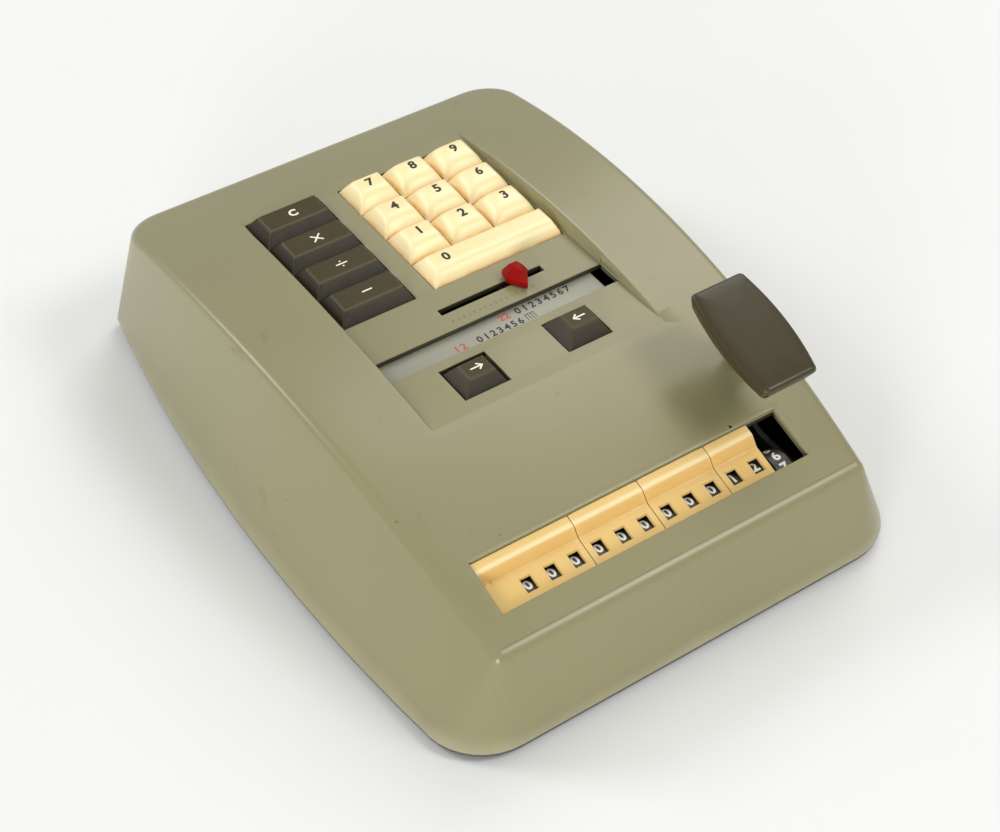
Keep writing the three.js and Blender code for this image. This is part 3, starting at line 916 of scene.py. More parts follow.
@dataclass
class CasingShape:
    """The casing's outer form: bowed sides under one long arc."""

    hem: float = 4.0
    half_length: float = 120.7
    crown_y: float = 22.5
    crown_z: float = 63.2
    crown_radius: float = 378.9
    back_hem: float = 122.6
    lean_front: float = 0.21
    lean_back: float = 0.232
    front_corner: Pair = (22.0, -0.557)
    back_corner: Pair = (3.0, 0.245)
    least_corner: float = 0.4
    hem_width: Point = (93.6, -0.018, -6.94e-4)
    top_width: Point = (77.3, 0.0395, -2.4e-4)
    corner_steps: int = 9
    side_steps: int = 44

    def crown(self, y: float) -> float:
        """The height of the top arc at y."""
        return self.crown_z - (y - self.crown_y) ** 2 / (2 * self.crown_radius)

    def half_width(self, y: float, z: float) -> float:
        """How far the side stands from the middle at y and z."""
        at_hem, at_top = (
            middle + slant * y + bow * y * y for middle, slant, bow in (self.hem_width, self.top_width)
        )
        return lerp(at_hem, at_top, (z - self.hem) / (self.crown(y) - self.hem))

    def stations(self) -> int:
        """The number of the last station down one side."""
        return 2 * self.corner_steps + self.side_steps

    def plan(self, station: int, z: float, inset: float = 0) -> tuple[Vector, Vector]:
        """The right side's outline at a height.

        Args:
            station: 0 at the front, rising to the back.
            z: the height.
            inset: how far the outline is drawn in.

        Returns:
            The point, and the direction that faces outwards there.
        """
        rise = z - self.hem
        front_radius, back_radius = (
            max(at_hem + gain * rise - inset, self.least_corner)
            for at_hem, gain in (self.front_corner, self.back_corner)
        )
        front = -self.half_length + self.lean_front * rise + inset
        back = self.back_hem - self.lean_back * rise - inset
        first, last = self.corner_steps, self.corner_steps + self.side_steps
        if station < first or station > last:
            at_front = station < first
            angle = (1 - station / first) if at_front else (station - last) / self.corner_steps
            angle *= math.pi / 2
            sign, radius = (-1, front_radius) if at_front else (1, back_radius)
            centre = (front if at_front else back) - sign * radius
            across = self.half_width(centre, z) - inset - radius
            way = Vector((math.cos(angle), sign * math.sin(angle), 0))
            return Vector((across, centre, z)) + way * radius, way
        y = lerp(front + front_radius, back - back_radius, (station - first) / self.side_steps)
        slope = (self.half_width(y + 1, z) - self.half_width(y - 1, z)) / 2
        return Vector((self.half_width(y, z) - inset, y, z)), Vector((1, -slope, 0)).normalized()


@dataclass
class Casing:
    """The moulded casing with its sunk panel and every opening."""

    shape: CasingShape = field(default_factory=CasingShape)
    wall: float = 2.5
    roof: float = 3.0
    panel_z: float = 58.0
    panel_half: float = 45.0
    panel_run: Pair = (-58, 100)
    panel_draft: float = 0.26
    panel_lip: float = 0.55
    key_gap: float = 0.35
    slot_x: Pair = (-13.5, 27.6)
    slot_y: Pair = (3.6, 6.6)
    strip_margin: float = 1.6
    register_x: Pair = (-61, 55.6)
    register_y: Pair = (-102, -83.9)
    notch_x: Pair = (38.4, 39.5)
    notch_y: Pair = (-83.4, -82.3)
    arm_gap: float = 1.0
    arm_y: Pair = (-78.5, -57.5)
    base_inset: float = 0.3
    screw_hole: float = 1.9
    ticks: int = 16
    tick_first: float = -12
    tick_pitch: float = 2.1
    tick_front: float = -1.6
    tick_half: float = 0.22
    tick_lengths: Pair = (1.3, 0.9)
    side_round: float = 2.9
    front_round: float = 2.9
    back_round: float = 3.6
    columns: int = 14
    round_steps: int = 8
    wall_steps: int = 7

    def grown(self, inset: float, drop: float, rounded: bool) -> bmesh.types.BMesh:
        """The casing's whole body, grown outwards from its top and down to its hem.

        Args:
            inset: how far the walls are drawn in.
            drop: how far the top is lowered.
            rounded: True for rounded ridges.

        Returns:
            The closed body.
        """
        shape, last = self.shape, self.shape.stations()
        sharp = [self.ridge(j, inset, drop) for j in range(last + 1)]
        reach = [self.reach(way) if rounded else 0.4 for _, way in sharp]
        inner = [self.on_top(point - way * t, drop) for (point, way), t in zip(sharp, reach)]
        bm = bmesh.new()
        row = bm.verts.layers.int.new("row")
        share = bm.verts.layers.float.new("share")
        bmesh.ops.create_grid(bm, x_segments=self.columns, y_segments=last, size=1)
        for vert in bm.verts:
            vert[row] = round((vert.co.y + 1) / 2 * last)
            vert[share] = vert.co.x
            edge = inner[vert[row]]
            vert.co = self.on_top(Vector((edge.x * vert.co.x, edge.y, 0)), drop)
        rings = [(k + 1) / self.round_steps for k in range(self.round_steps)] if rounded else []
        levels = [("round", s) for s in rings]
        levels += [("wall", (k + 1) / self.wall_steps) for k in range(self.wall_steps)]
        edges = [e for e in bm.edges if e.is_boundary]
        for kind, s in levels:
            made = bmesh.ops.extrude_edge_only(bm, edges=edges)["geom"]
            edges = [g for g in made if isinstance(g, bmesh.types.BMEdge)]
            for vert in (g for g in made if isinstance(g, bmesh.types.BMVert)):
                j = vert[row]
                point, _ = sharp[j]
                foot, _ = shape.plan(j, shape.hem - (0 if rounded else 1), inset)
                down = (foot - point).normalized()
                start = point + down * reach[j]
                if kind == "round":
                    place = inner[j] * (1 - s) ** 2 + point * 2 * s * (1 - s) + start * s * s
                else:
                    place = start.lerp(foot, s)
                vert.co = (place.x * vert[share], place.y, place.z)
            edges = [e for e in edges if e.is_boundary]
        fill_rim(bm)
        bmesh.ops.recalc_face_normals(bm, faces=bm.faces)
        return bm

    def ridge(self, station: int, inset: float, drop: float) -> tuple[Vector, Vector]:
        """Where the wall and the top would meet without rounding.

        Args:
            station: the station down the side.
            inset: how far the walls are drawn in.
            drop: how far the top is lowered.

        Returns:
            The point and the outward direction there.
        """
        z = 50.0
        for _ in range(8):
            point, way = self.shape.plan(station, z, inset)
            z = self.shape.crown(point.y) - drop
        return Vector((point.x, point.y, z)), way

    def reach(self, way: Vector) -> float:
        """How far the rounding runs from the ridge, by the direction that it faces."""
        end = self.back_round if way.y > 0 else self.front_round
        return self.side_round * way.x ** 2 + end * way.y ** 2

    def on_top(self, point: Vector, drop: float) -> Vector:
        """The point moved onto the top arc."""
        return Vector((point.x, point.y, self.shape.crown(point.y) - drop))

    def recess(self) -> bmesh.types.BMesh:
        """The cutter of the sunk panel: drafted side walls with a rounded lip."""
        crown, floor = self.shape.crown, self.panel_z
        draft, lip = self.panel_draft, self.panel_lip

        def depth(y: float) -> float:
            """How deep the panel is sunk at y."""
            return max(crown(y) - floor, 0.0)

        def ring(out: Callable[[float], float], height: Callable[[float], float]) -> Placing:
            """A ring that stands outside the panel by out and at a height, both changing along Y."""

            def place(across: float, along: float) -> Point:
                """Where a corner of the strip goes."""
                y = lerp(*self.panel_run, (along + 1) / 2)
                return across * (self.panel_half + out(y)), y, height(y)

            return place

        return raised([
            ring(lambda y: 0.0, lambda y: floor),
            ring(lambda y: draft * max(depth(y) - lip, 0), lambda y: floor + max(depth(y) - lip, 0.02)),
            ring(lambda y: draft * depth(y) + 0.12, lambda y: floor + max(depth(y) - 0.2, 0.04)),
            ring(lambda y: draft * depth(y) + 0.5, lambda y: floor + depth(y) + 0.06),
            ring(lambda y: draft * depth(y) + 2.0, lambda y: floor + depth(y) + 4),
        ], 60)

    def opening(self, x: Pair, y: Pair, lip: float = 0.25, curved: bool = False,
                depth: float = 16.0) -> bmesh.types.BMesh:
        """The cutter of one opening, with a small lip where it meets the outer face.

        Args:
            x: left and right.
            y: front and back.
            lip: the lip's width.
            curved: True on the top arc, False on the panel.
            depth: how far below the face the opening goes.

        Returns:
            The cutter.
        """
        face = self.shape.crown if curved else lambda at: self.panel_z
        return sheet_cutter(x, y, [
            (0, lambda at: face(at) - depth),
            (0, lambda at: face(at) - lip),
            (lip * 0.3, lambda at: face(at) - lip * 0.35),
            (lip, lambda at: face(at) + 0.02),
            (lip + 0.3, lambda at: face(at) + 1.5),
        ])

    def build(self) -> None:
        """Makes the casing."""
        gap = self.key_gap
        body = into_object("casing_shell", self.grown(0, 0, True), Finish.CASING)
        cavity = into_object("cavity", self.grown(self.wall, self.roof, False), None)
        under = bmesh.new()
        block(under, (-self.panel_half - 3, -60, self.panel_z - 2), (self.panel_half + 3, 100, 80))
        carve(cavity, into_object("under_panel", under, None))
        carve(body, cavity)
        carve(body, into_object("recess", self.recess(), None))

        def span(first: str, last: str) -> tuple[Pair, Pair]:
            """The opening round the keys from one node to another."""
            a, b = box_mm(first), box_mm(last)
            low = [min(a[0][i], b[0][i]) - gap for i in range(2)]
            high = [max(a[1][i], b[1][i]) + gap for i in range(2)]
            return (low[0], high[0]), (low[1], high[1])

        tools = [self.opening(*span("key_0", "key_9")), self.opening(*span("key_clear", "key_minus"))]
        tools += [self.opening(*span(name, name)) for name in ("key_shift_left", "key_shift_right")]
        strip_low, strip_high = box_mm("scale_strip")
        tools.append(self.opening(self.slot_x, self.slot_y, 0.2))
        window = (strip_low.y + self.strip_margin, strip_high.y - self.strip_margin)
        tools.append(self.opening((-self.panel_half, self.panel_half), window, 0.3))
        tools.append(self.opening(self.register_x, self.register_y, 0.35, True))
        tools.append(self.opening(self.notch_x, self.notch_y, 0.1, True, 1.2))
        arm_low, arm_high = box_mm("lever_arm")
        across = (arm_low.x - self.arm_gap, arm_high.x + self.arm_gap)
        tools.append(self.opening(across, self.arm_y, 0.4, True))
        carve(body, into_object("openings", merged(tools), None))
        shade(body.data, 26)
        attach(body, "chassis")
        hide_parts("casing")
        LOG.info("casing_shell: %d faces", len(body.data.polygons))

    def base(self) -> None:
        """Makes the sheet base that closes the casing from below."""
        low, high = box_mm("base_plate")
        hem, last = self.shape.hem, self.shape.stations()
        points = [self.shape.plan(j, hem, self.base_inset)[0] for j in range(last + 1)]
        outline = [(p.x, p.y) for p in points] + [(-p.x, p.y) for p in reversed(points)]
        bm = stacked(outline, [
            lambda x, y: (x * 0.998, y * 0.998, low.z),
            lambda x, y: (x, y, low.z + 0.4),
            lambda x, y: (x, y, high.z),
        ])
        sheet = into_object("base_sheet", bm, Finish.BASE)
        holes = []
        for end in ("front", "rear"):
            for side in ("left", "right"):
                a, b = box_mm(f"base_screw_{end}_{side}")
                hole = bmesh.new()
                radius = self.screw_hole
                bmesh.ops.create_cone(
                    hole, cap_ends=True, segments=24, radius1=radius, radius2=radius, depth=8
                )
                bmesh.ops.translate(hole, vec=((a.x + b.x) / 2, (a.y + b.y) / 2, high.z), verts=hole.verts)
                holes.append(hole)
        carve(sheet, into_object("holes", merged(holes), None))
        shade(sheet.data, 30)
        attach(sheet, "chassis")
        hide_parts("base_plate")
        LOG.info("base_sheet: closes the casing")

    def tick_scale(self) -> None:
        """Prints the row of short marks between the pointer's slot and the window."""
        marks = bmesh.new()
        half, front = self.tick_half, self.tick_front
        for i in range(self.ticks):
            x = self.tick_first + self.tick_pitch * i
            back = front + self.tick_lengths[i % 2]
            block(marks, (x - half, front, self.panel_z - 0.05), (x + half, back, self.panel_z + 0.03))
        printed = into_object("pointer_scale_marks", marks, Finish.TICK_INK)
        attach(printed, "chassis")
        LOG.info("pointer_scale_marks: %d marks", self.ticks)


# ---- Keys -------------------------------------------------------------------------------------


@dataclass
class KeyCap:
    """A moulded cap: a flat land with four slopes of their own widths."""

    height: float
    left: float
    right: float
    back: float
    front: float
    soft: float = 0.3
    bulge: float = 0.35
    step: float = 0.42
    skirt_bottom: float = 49.0
    slope_start: float = 57.6
    skirt_drop: float = 0.4
    side_bulge: float = 0.12
    stem_half: float = 2.5

    def build(self, name: str, finish: Finish) -> tuple[bpy.types.Object, Vector]:
        """Makes the cap over its CAD node.

        Args:
            name: the key's node and body.
            finish: its plastic.

        Returns:
            The cap and the middle of its land.
        """
        low, high = box_mm(name)
        start = high.z - self.height - self.skirt_drop
        columns = max(8, round((high.x - low.x) / self.step))
        rows = max(8, round((high.y - low.y) / self.step))
        bm = bmesh.new()
        crease = bm.verts.layers.float.new("crease")
        foot = bm.verts.layers.float.new("foot")
        side = bm.verts.layers.float.new("side")
        bmesh.ops.create_grid(bm, x_segments=columns, y_segments=rows, size=1)
        for vert in bm.verts:
            x = lerp(low.x, high.x, (vert.co.x + 1) / 2)
            y = lerp(low.y, high.y, (vert.co.y + 1) / 2)
            sharp, rounded = self.rise(x, y, low, high)
            total = self.height + self.skirt_drop
            # These masks steer a painted highlight on the creases, painted shade at the foot of the slopes
            # and painted shade on the slopes.
            vert[crease] = min(max((sharp - rounded) / (self.soft * 0.69), 0), 1)
            vert[foot] = 1 - smooth_step(rounded / 1.5)
            vert[side] = smooth_step((1.0 - sharp / total) / 0.16)
            vert.co = (x, y, start + rounded)
        # The skirt takes full painted shade at the foot and on the slopes, and no painted crease highlight.
        for z in (start - 0.6, self.skirt_bottom - (self.slope_start - start)):
            for vert in next_ring(bm):
                vert.co.z = z
                vert[foot] = 1
                vert[side] = 1
                vert[crease] = 0
        fill_rim(bm)
        middle = (low + high) / 2
        half = self.stem_half
        block(
            bm, (middle.x - half, middle.y - half, low.z),
            (middle.x + half, middle.y + half, self.skirt_bottom),
        )
        bmesh.ops.recalc_face_normals(bm, faces=bm.faces)
        cap = into_object(f"{name}_cap", bm, finish, 38)
        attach(cap, name)
        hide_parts(name)
        land = Vector((
            (low.x + self.left + high.x - self.right) / 2,
            (low.y + self.front + high.y - self.back) / 2,
            high.z,
        ))
        return cap, land

    def rise(self, x: float, y: float, low: Vector, high: Vector) -> Pair:
        """How high the cap stands over its skirt at a place.

        Args:
            x: the place along X.
            y: the place along Y.
            low: the cap's lowest corner.
            high: its highest corner.

        Returns:
            The height with sharp creases and with rounded ones.
        """
        total = self.height + self.skirt_drop
        heights = [
            total * self.slope((x - low.x) / self.left, self.side_bulge),
            total * self.slope((high.x - x) / self.right, self.side_bulge),
            total * self.slope((high.y - y) / self.back, self.side_bulge),
            total * self.slope((y - low.y) / self.front, self.bulge),
            total,
        ]
        return min(heights), -self.soft * math.log(sum(math.exp(-h / self.soft) for h in heights))

    def slope(self, share: float, bulge: float) -> float:
        """A slope's rise: a slightly bulging run that carries on past the land.

        Args:
            share: the distance from the cap's edge over the slope's run.
            bulge: how far the run stands above a straight one.

        Returns:
            The rise as a share of the land's height.
        """
        if share >= 1:
            return 1 + (share - 1) * (1 - bulge)
        return share + bulge * share * (1 - share)


@dataclass
class Keyboard:
    """The ten figure keys, the four function keys and the two carriage keys."""

    digit: KeyCap = field(default_factory=lambda: KeyCap(4.3, 4.3, 2.3, 2.6, 5.6, soft=0.34, bulge=0.5))
    smooth_digit: KeyCap = field(
        default_factory=lambda: KeyCap(4.3, 4.3, 2.3, 2.6, 5.6, soft=0.8, bulge=0.55)
    )
    zero: KeyCap = field(
        default_factory=lambda: KeyCap(4.0, 4.3, 1.6, 3.0, 4.6, soft=0.3, bulge=0.5, step=0.5)
    )
    function: KeyCap = field(default_factory=lambda: KeyCap(3.6, 3.9, 2.0, 2.2, 4.2, soft=0.14, bulge=0.15))
    arrow: KeyCap = field(default_factory=lambda: KeyCap(4.0, 5.0, 2.6, 3.2, 4.8, soft=0.14, bulge=0.1))
    lettering: Lettering = field(default_factory=Lettering)
    figure_height: float = 4.1
    creased: tuple[int, ...] = (1, 4, 7)
    zero_figure_x: float = 9.6
    clear_height: float = 3.5
    sign_half: float = 2.1
    sign_stroke: float = 0.6
    proud: float = 0.035

    def build(self) -> None:
        """Makes every key with its figure or sign."""
        for number in range(10):
            name = f"key_{number}"
            model = self.zero if number == 0 else self.digit if number in self.creased else self.smooth_digit
            cap, land = model.build(name, Finish.CREAM)
            if number == 0:
                land.x = box_mm(name)[0].x + self.zero_figure_x
            figure = self.lettering.figure(str(number), self.figure_height)
            self.mark(name, model, figure, land, Finish.BLACK_INK)
        signs = {
            "key_multiply": Sign.TIMES, "key_divide": Sign.DIVIDE, "key_minus": Sign.MINUS,
            "key_shift_left": Sign.LEFT, "key_shift_right": Sign.RIGHT,
        }
        for name in ("key_clear", *signs):
            model = self.arrow if "shift" in name else self.function
            cap, land = model.build(name, Finish.DARK)
            if name == "key_clear":
                shape = self.lettering.figure("C", self.clear_height)
            else:
                shape = self.lettering.sign(signs[name], self.sign_half, self.sign_stroke)
            self.mark(name, model, shape, land, Finish.IVORY_INK)
        LOG.info("keyboard: 16 keys")

    def mark(self, name: str, model: KeyCap, shape: bmesh.types.BMesh, land: Vector, ink: Finish) -> None:
        """Lays a figure or sign on a key's land, following its form.

        Args:
            name: the key.
            model: the cap's form.
            shape: the figure or sign.
            land: the middle of the land.
            ink: what it is filled with.
        """
        low, high = box_mm(name)
        for vert in shape.verts:
            x, y = vert.co.x + land.x, vert.co.y + land.y
            fall = model.height + model.skirt_drop - model.rise(x, y, low, high)[1]
            vert.co = (x, y, vert.co.z + land.z - fall + self.proud)
        mark = into_object(f"{name}_legend", shape, ink)
        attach(mark, name)


# ---- Pointer, scale and setting carriage ------------------------------------------------------


@dataclass
class Pointer:
    """The red arrow-shaped knob that slides in the panel's slot."""

    plan: tuple[Pair, ...] = ((0, -7), (4.3, -0.6), (3.2, 4), (-3.2, 4), (-4.3, -0.6))
    panel_z: float = 58.0
    shank_half: float = 1.1
    slider_half: Pair = (6, 4)
    slider_drop: float = 2.3

    def build(self) -> None:
        """Makes the knob, its shank and its slider."""
        low, high = box_mm("pointer_knob")
        x, y = (low.x + high.x) / 2, high.y - self.plan[2][1]

        def level(share: float, shift: float, z: float) -> Placing:
            """A ring of the arrow, smaller and moved along as it rises."""
            return lambda px, py: (x + px * share, y + py * share + shift, z)

        bm = stacked(list(self.plan), [
            level(0.94, 0, self.panel_z + 0.4),
            level(1.0, 0, self.panel_z + 1.0),
            level(1.0, 0, self.panel_z + 2.7),
            level(0.52, 0.2, high.z - 0.35),
            level(0.3, 0.3, high.z),
        ])
        soften(bm, 0.22, 15, 2)
        top, half = self.panel_z - self.slider_drop, self.shank_half
        block(bm, (x - half, y - half, top), (x + half, y + half, self.panel_z + 2))
        knob = into_object("pointer_arrow", bm, Finish.RED, 20)
        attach(knob, "pointer")
        under = bmesh.new()
        across, along = self.slider_half
        block(under, (x - across, y - along, low.z), (x + across, y + along, top - 0.02))
        soften(under, 0.4)
        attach(into_object("pointer_slider", under, Finish.WHEEL), "pointer")
        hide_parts("pointer_knob")
        LOG.info("pointer_arrow: faceted knob on its slider")


@dataclass
class ScaleStrip:
    """The enamelled strip under the window, with two rows of figures."""

    figure_height: float = 3.0
    upper_y: float = -6.3
    lower_y: float = -10.9
    upper_first: float = 9.8
    lower_first: float = -8.3
    upper_pitch: float = 2.86
    lower_pitch: float = 2.7
    upper_red: tuple[tuple[str, float], ...] = (("2", 3.2), ("2", 5.4))
    lower_red: tuple[tuple[str, float], ...] = (("1", -17.2), ("2", -14.6))
    comb_first: float = 10.4
    comb_pitch: float = 1.1
    comb_half: float = 0.13
    lettering: Lettering = field(default_factory=lambda: Lettering(depth=0.04, spread=0.025))

    def build(self) -> None:
        """Makes the strip and its printing."""
        low, high = box_mm("scale_strip")
        bm = bmesh.new()
        block(bm, tuple(low), tuple(high))
        soften(bm, 0.15)
        plate = into_object("scale_strip_plate", bm, Finish.STRIP)
        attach(plate, "setting_carriage")
        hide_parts("scale_strip")
        face = high.z + 0.02
        black, red = [], []
        for i in range(8):
            black.append(self.printed(str(i), self.upper_first + self.upper_pitch * i, self.upper_y, face))
        for i in range(7):
            black.append(self.printed(str(i), self.lower_first + self.lower_pitch * i, self.lower_y, face))
        comb, half = bmesh.new(), self.comb_half
        for i in range(4):
            x = self.comb_first + self.comb_pitch * i
            block(comb, (x - half, self.lower_y - 1.4, face - 0.04), (x + half, self.lower_y + 1.6, face))
        block(comb, (10.3, self.lower_y + 1.4, face - 0.04), (13.8, self.lower_y + 1.65, face))
        black.append(comb)
        for row, y in ((self.upper_red, self.upper_y), (self.lower_red, self.lower_y)):
            red += [self.printed(text, x, y, face) for text, x in row]
        for name, parts, ink in (
            ("scale_strip_figures", black, Finish.BLACK_INK), ("scale_strip_red_figures", red, Finish.RED_INK)
        ):
            printing = into_object(name, merged(parts), ink)
            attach(printing, "setting_carriage")
        LOG.info("scale_strip_plate: two rows of figures")

    def printed(self, text: str, x: float, y: float, z: float) -> bmesh.types.BMesh:
        """One printed figure.

        Args:
            text: the figure.
            x: its middle along X.
            y: its middle along Y.
            z: the height of its face.

        Returns:
            Its shape.
        """
        bm = self.lettering.figure(text, self.figure_height)
        bmesh.ops.translate(bm, vec=(x, y, z), verts=bm.verts)
        return bm


# ---- The register -----------------------------------------------------------------------------


@dataclass
class Register:
    """The sliding mask over twelve number wheels."""

    shape: CasingShape = field(default_factory=CasingShape)
    groups: int = 4
    wheels: int = 12
    shelf_drop: float = 3.4
    shelf_thickness: float = 1.1
    rim_drop: float = 0.7
    rim_back: float = -84.3
    rim_front: float = -87.4
    step_front: float = -91.0
    window: Pair = (3.8, 4.8)
    lean: float = 6.0
    figure_height: float = 4.0
    slice_step: float = 0.55
    dimple: Pair = (-58, -90.6)
    dimple_radius: float = 0.8
    dimple_rise: float = 0.45
    shown: tuple[int, ...] = (0, 0, 0, 0, 0, 0, 0, 0, 0, 1, 2, 6)
    lettering: Lettering = field(default_factory=lambda: Lettering(depth=0.12, spread=0.03))

    def mask_top(self, y: float) -> float:
        """The height of the mask's face at y: a low shelf, an S-shaped step and a raised rim."""
        rise = smooth_step((y - self.step_front) / (self.rim_front - self.step_front))
        return self.shape.crown(y) - lerp(self.shelf_drop, self.rim_drop, rise)

    def build(self) -> None:
        """Makes the masks and the wheels."""
        for number in range(1, self.groups + 1):
            self.mask(number)
        for number in range(1, self.wheels + 1):
            self.wheel(number)
        LOG.info("register: %d masks and %d wheels", self.groups, self.wheels)

    def mask(self, number: int) -> None:
        """Makes one group of the mask.

        Args:
            number: the group, from 1 at the left.
        """
        name = f"register_mask_{number}"
        low, high = box_mm(name)
        bm = bmesh.new()
        crease = bm.verts.layers.float.new("crease")
        foot = bm.verts.layers.float.new("foot")
        side = bm.verts.layers.float.new("side")
        rows, columns = 72, max(4, round((high.x - low.x) / 2))
        bmesh.ops.create_grid(bm, x_segments=columns, y_segments=rows, size=1)
        for vert in bm.verts:
            x = lerp(low.x, high.x, (vert.co.x + 1) / 2)
            y = lerp(low.y, self.rim_back, (vert.co.y + 1) / 2)
            edge = 0.18 * max(0.0, 1 - min(x - low.x, high.x - x) / 0.35)
            vert.co = (x, y, self.mask_top(y) - edge)
            # These masks steer a painted highlight at the top of the step, painted shade at its foot and
            # painted shade on its slope.
            vert[crease] = math.exp(-((y - self.rim_front - 0.2) / 0.7) ** 2)
            vert[foot] = math.exp(-((y - self.step_front - 0.5) / 0.6) ** 2)
            vert[side] = 1.0 if self.step_front < y < self.rim_front - 0.5 else 0.0
        bmesh.ops.solidify(bm, geom=list(bm.faces), thickness=self.shelf_thickness)
        bmesh.ops.recalc_face_normals(bm, faces=bm.faces)
        piece = into_object(f"{name}_cover", bm, Finish.MASK, 40)
        tools = []
        for wheel in range(1, self.wheels + 1):
            a, b = box_mm(f"number_wheel_{wheel}")
            x = (a.x + b.x) / 2
            if low.x < x < high.x:
                centre = (a.y + b.y) / 2
                half_x, half_y = self.window[0] / 2, self.window[1] / 2
                face = self.mask_top
                tools.append(sheet_cutter((x - half_x, x + half_x), (centre - half_y, centre + half_y), [
                    (0, lambda at: face(at) - 4),
                    (0, lambda at: face(at) - 0.5),
                    (0.1, lambda at: face(at) - 0.2),
                    (0.35, lambda at: face(at) + 0.03),
                    (0.9, lambda at: face(at) + 1),
                ], 4))
        if number == 1:
            dimple = bmesh.new()
            bmesh.ops.create_uvsphere(dimple, u_segments=20, v_segments=12, radius=self.dimple_radius)
            place = (*self.dimple, self.mask_top(self.dimple[1]) + self.dimple_rise)
            bmesh.ops.translate(dimple, vec=place, verts=dimple.verts)
            tools.append(dimple)
        carve(piece, into_object("windows", merged(tools), None))
        shade(piece.data, 34)
        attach(piece, "register_mask")
        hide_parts(name)

    def wheel(self, number: int) -> None:
        """Makes one number wheel with its ten figures.

        Args:
            number: the wheel, from 1 at the left.
        """
        name = f"number_wheel_{number}"
        low, high = box_mm(name)
        middle = (low + high) / 2
        radius, half = (high.z - low.z) / 2, (high.x - low.x) / 2
        bm = turned([
            (2.3, -half + 0.4), (3.6, -half), (3.8, -half + 0.6), (radius - 1.4, -half + 0.6),
            (radius - 1.2, -half), (radius - 0.25, -half), (radius, -half + 0.25),
            (radius, half - 0.25), (radius - 0.25, half), (radius - 1.2, half),
            (radius - 1.4, half - 0.6), (3.8, half - 0.6), (3.6, half), (2.3, half - 0.4),
        ], 60)
        to_place = Matrix.Translation(middle) @ Matrix.Rotation(math.pi / 2, 4, "Y")
        bmesh.ops.transform(bm, matrix=to_place, verts=bm.verts)
        drum = into_object(f"{name}_drum", bm, Finish.WHEEL)
        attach(drum, name)
        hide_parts(name)
        figures = []
        for place in range(10):
            digit = (self.shown[number - 1] + place) % 10
            figure = self.wrapped(str(digit), radius)
            turn = Matrix.Rotation(math.radians(36 * place - self.lean), 4, "X")
            bmesh.ops.transform(figure, matrix=Matrix.Translation(middle) @ turn, verts=figure.verts)
            figures.append(figure)
        printing = into_object(f"{name}_figures", merged(figures), Finish.WHITE_INK)
        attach(printing, name)

    def wrapped(self, text: str, radius: float) -> bmesh.types.BMesh:
        """A figure bent round a wheel's rim, at its top.

        Args:
            text: the figure.
            radius: the wheel's radius.

        Returns:
            Its shape, about the wheel's axis.
        """
        bm = self.lettering.figure(text, self.figure_height)
        for k in range(-3, 4):
            geom = list(bm.verts) + list(bm.edges) + list(bm.faces)
            bmesh.ops.bisect_plane(bm, geom=geom, plane_co=(0, self.slice_step * k, 0), plane_no=(0, 1, 0))
        for vert in bm.verts:
            angle = vert.co.y / radius
            out = radius + 0.05 + vert.co.z
            vert.co = (vert.co.x, out * math.sin(angle), out * math.cos(angle))
        return bm


# ---- The lever pad ----------------------------------------------------------------------------


@dataclass
class LeverPad:
    """The pressing pad at the end of the drive lever: bowed sides and rounded edges."""

    tilt: float = 17.0
    length: float = 41.2
    end_width: float = 20.2
    bow: float = 2.4
    thickness: float = 7.0
    corner: float = 1.8
    crown: float = 0.25
    rounding: float = 1.7
    underside: tuple[Pair, ...] = ((2.6, 0), (1.5, 0.35), (1.0, 1.2))
    wall: Pair = (0.25, 1.2)
    dome: tuple[float, ...] = (3.0, 5.0, 7.5, 9.6, 11.2)
    dome_reach: float = 12

    def plan(self) -> list[Pair]:
        """The pad's outline, about its middle."""
        half: list[Pair] = []
        long = self.length / 2

        def width(y: float) -> float:
            """Half the pad's width at y."""
            return self.end_width / 2 + self.bow * (1 - (y / long) ** 2)

        for k in range(6):
            angle = math.radians(90 - 15 * k)
            y = -long + self.corner
            half.append((width(y) - self.corner * (1 - math.cos(angle)), y - self.corner * math.sin(angle)))
        for k in range(25):
            y = lerp(-long + self.corner, long - self.corner, k / 24)
            half.append((width(y), y))
        for k in range(1, 7):
            angle = math.radians(15 * k)
            y = long - self.corner
            half.append((width(y) - self.corner * (1 - math.cos(angle)), y + self.corner * math.sin(angle)))
        return half + [(-x, y) for x, y in reversed(half)]

    def build(self) -> None:
        """Makes the pad over its CAD node."""
        low, high = box_mm("lever_pad")
        slope = math.radians(self.tilt)
        turn = Matrix.Rotation(slope, 4, "X")
        middle = Vector(((low.x + high.x) / 2, (low.y + high.y) / 2, (low.z + high.z) / 2))
        origin = middle + turn @ Vector((0, 0, self.thickness / 2))

        def ring(inset: float, z: float) -> Placing:
            """A ring drawn in by an inset at a height under the top face."""

            def place(x: float, y: float) -> Point:
                """Where a corner of the plan goes."""
                scale_x = 1 - inset / (self.end_width / 2 + self.bow)
                scale_y = 1 - inset / (self.length / 2)
                return (x * scale_x, y * scale_y, z)

            return place

        rounding = self.rounding
        levels = [ring(inset, -self.thickness + rise) for inset, rise in self.underside]
        levels.append(ring(self.wall[0], -rounding - self.wall[1]))
        for k in range(6):
            angle = math.radians(18 * k)
            height = -rounding + rounding * math.sin(angle) - self.crown
            levels.append(ring(rounding * (1 - math.cos(angle)), height))
        for inset in self.dome:
            rise = self.crown * (1 - (1 - inset / self.dome_reach) ** 2)
            levels.append(ring(inset, -self.crown + rise))
        bm = stacked(self.plan(), levels)
        bmesh.ops.transform(bm, matrix=Matrix.Translation(origin) @ turn, verts=bm.verts)
        pad = into_object("lever_pad_cover", bm, Finish.PAD, 50)
        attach(pad, "lever")
        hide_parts("lever_pad")
        LOG.info("lever_pad_cover: %s", [round(v, 2) for v in origin])


# ---- Feet, screws and the inner works ---------------------------------------------------------


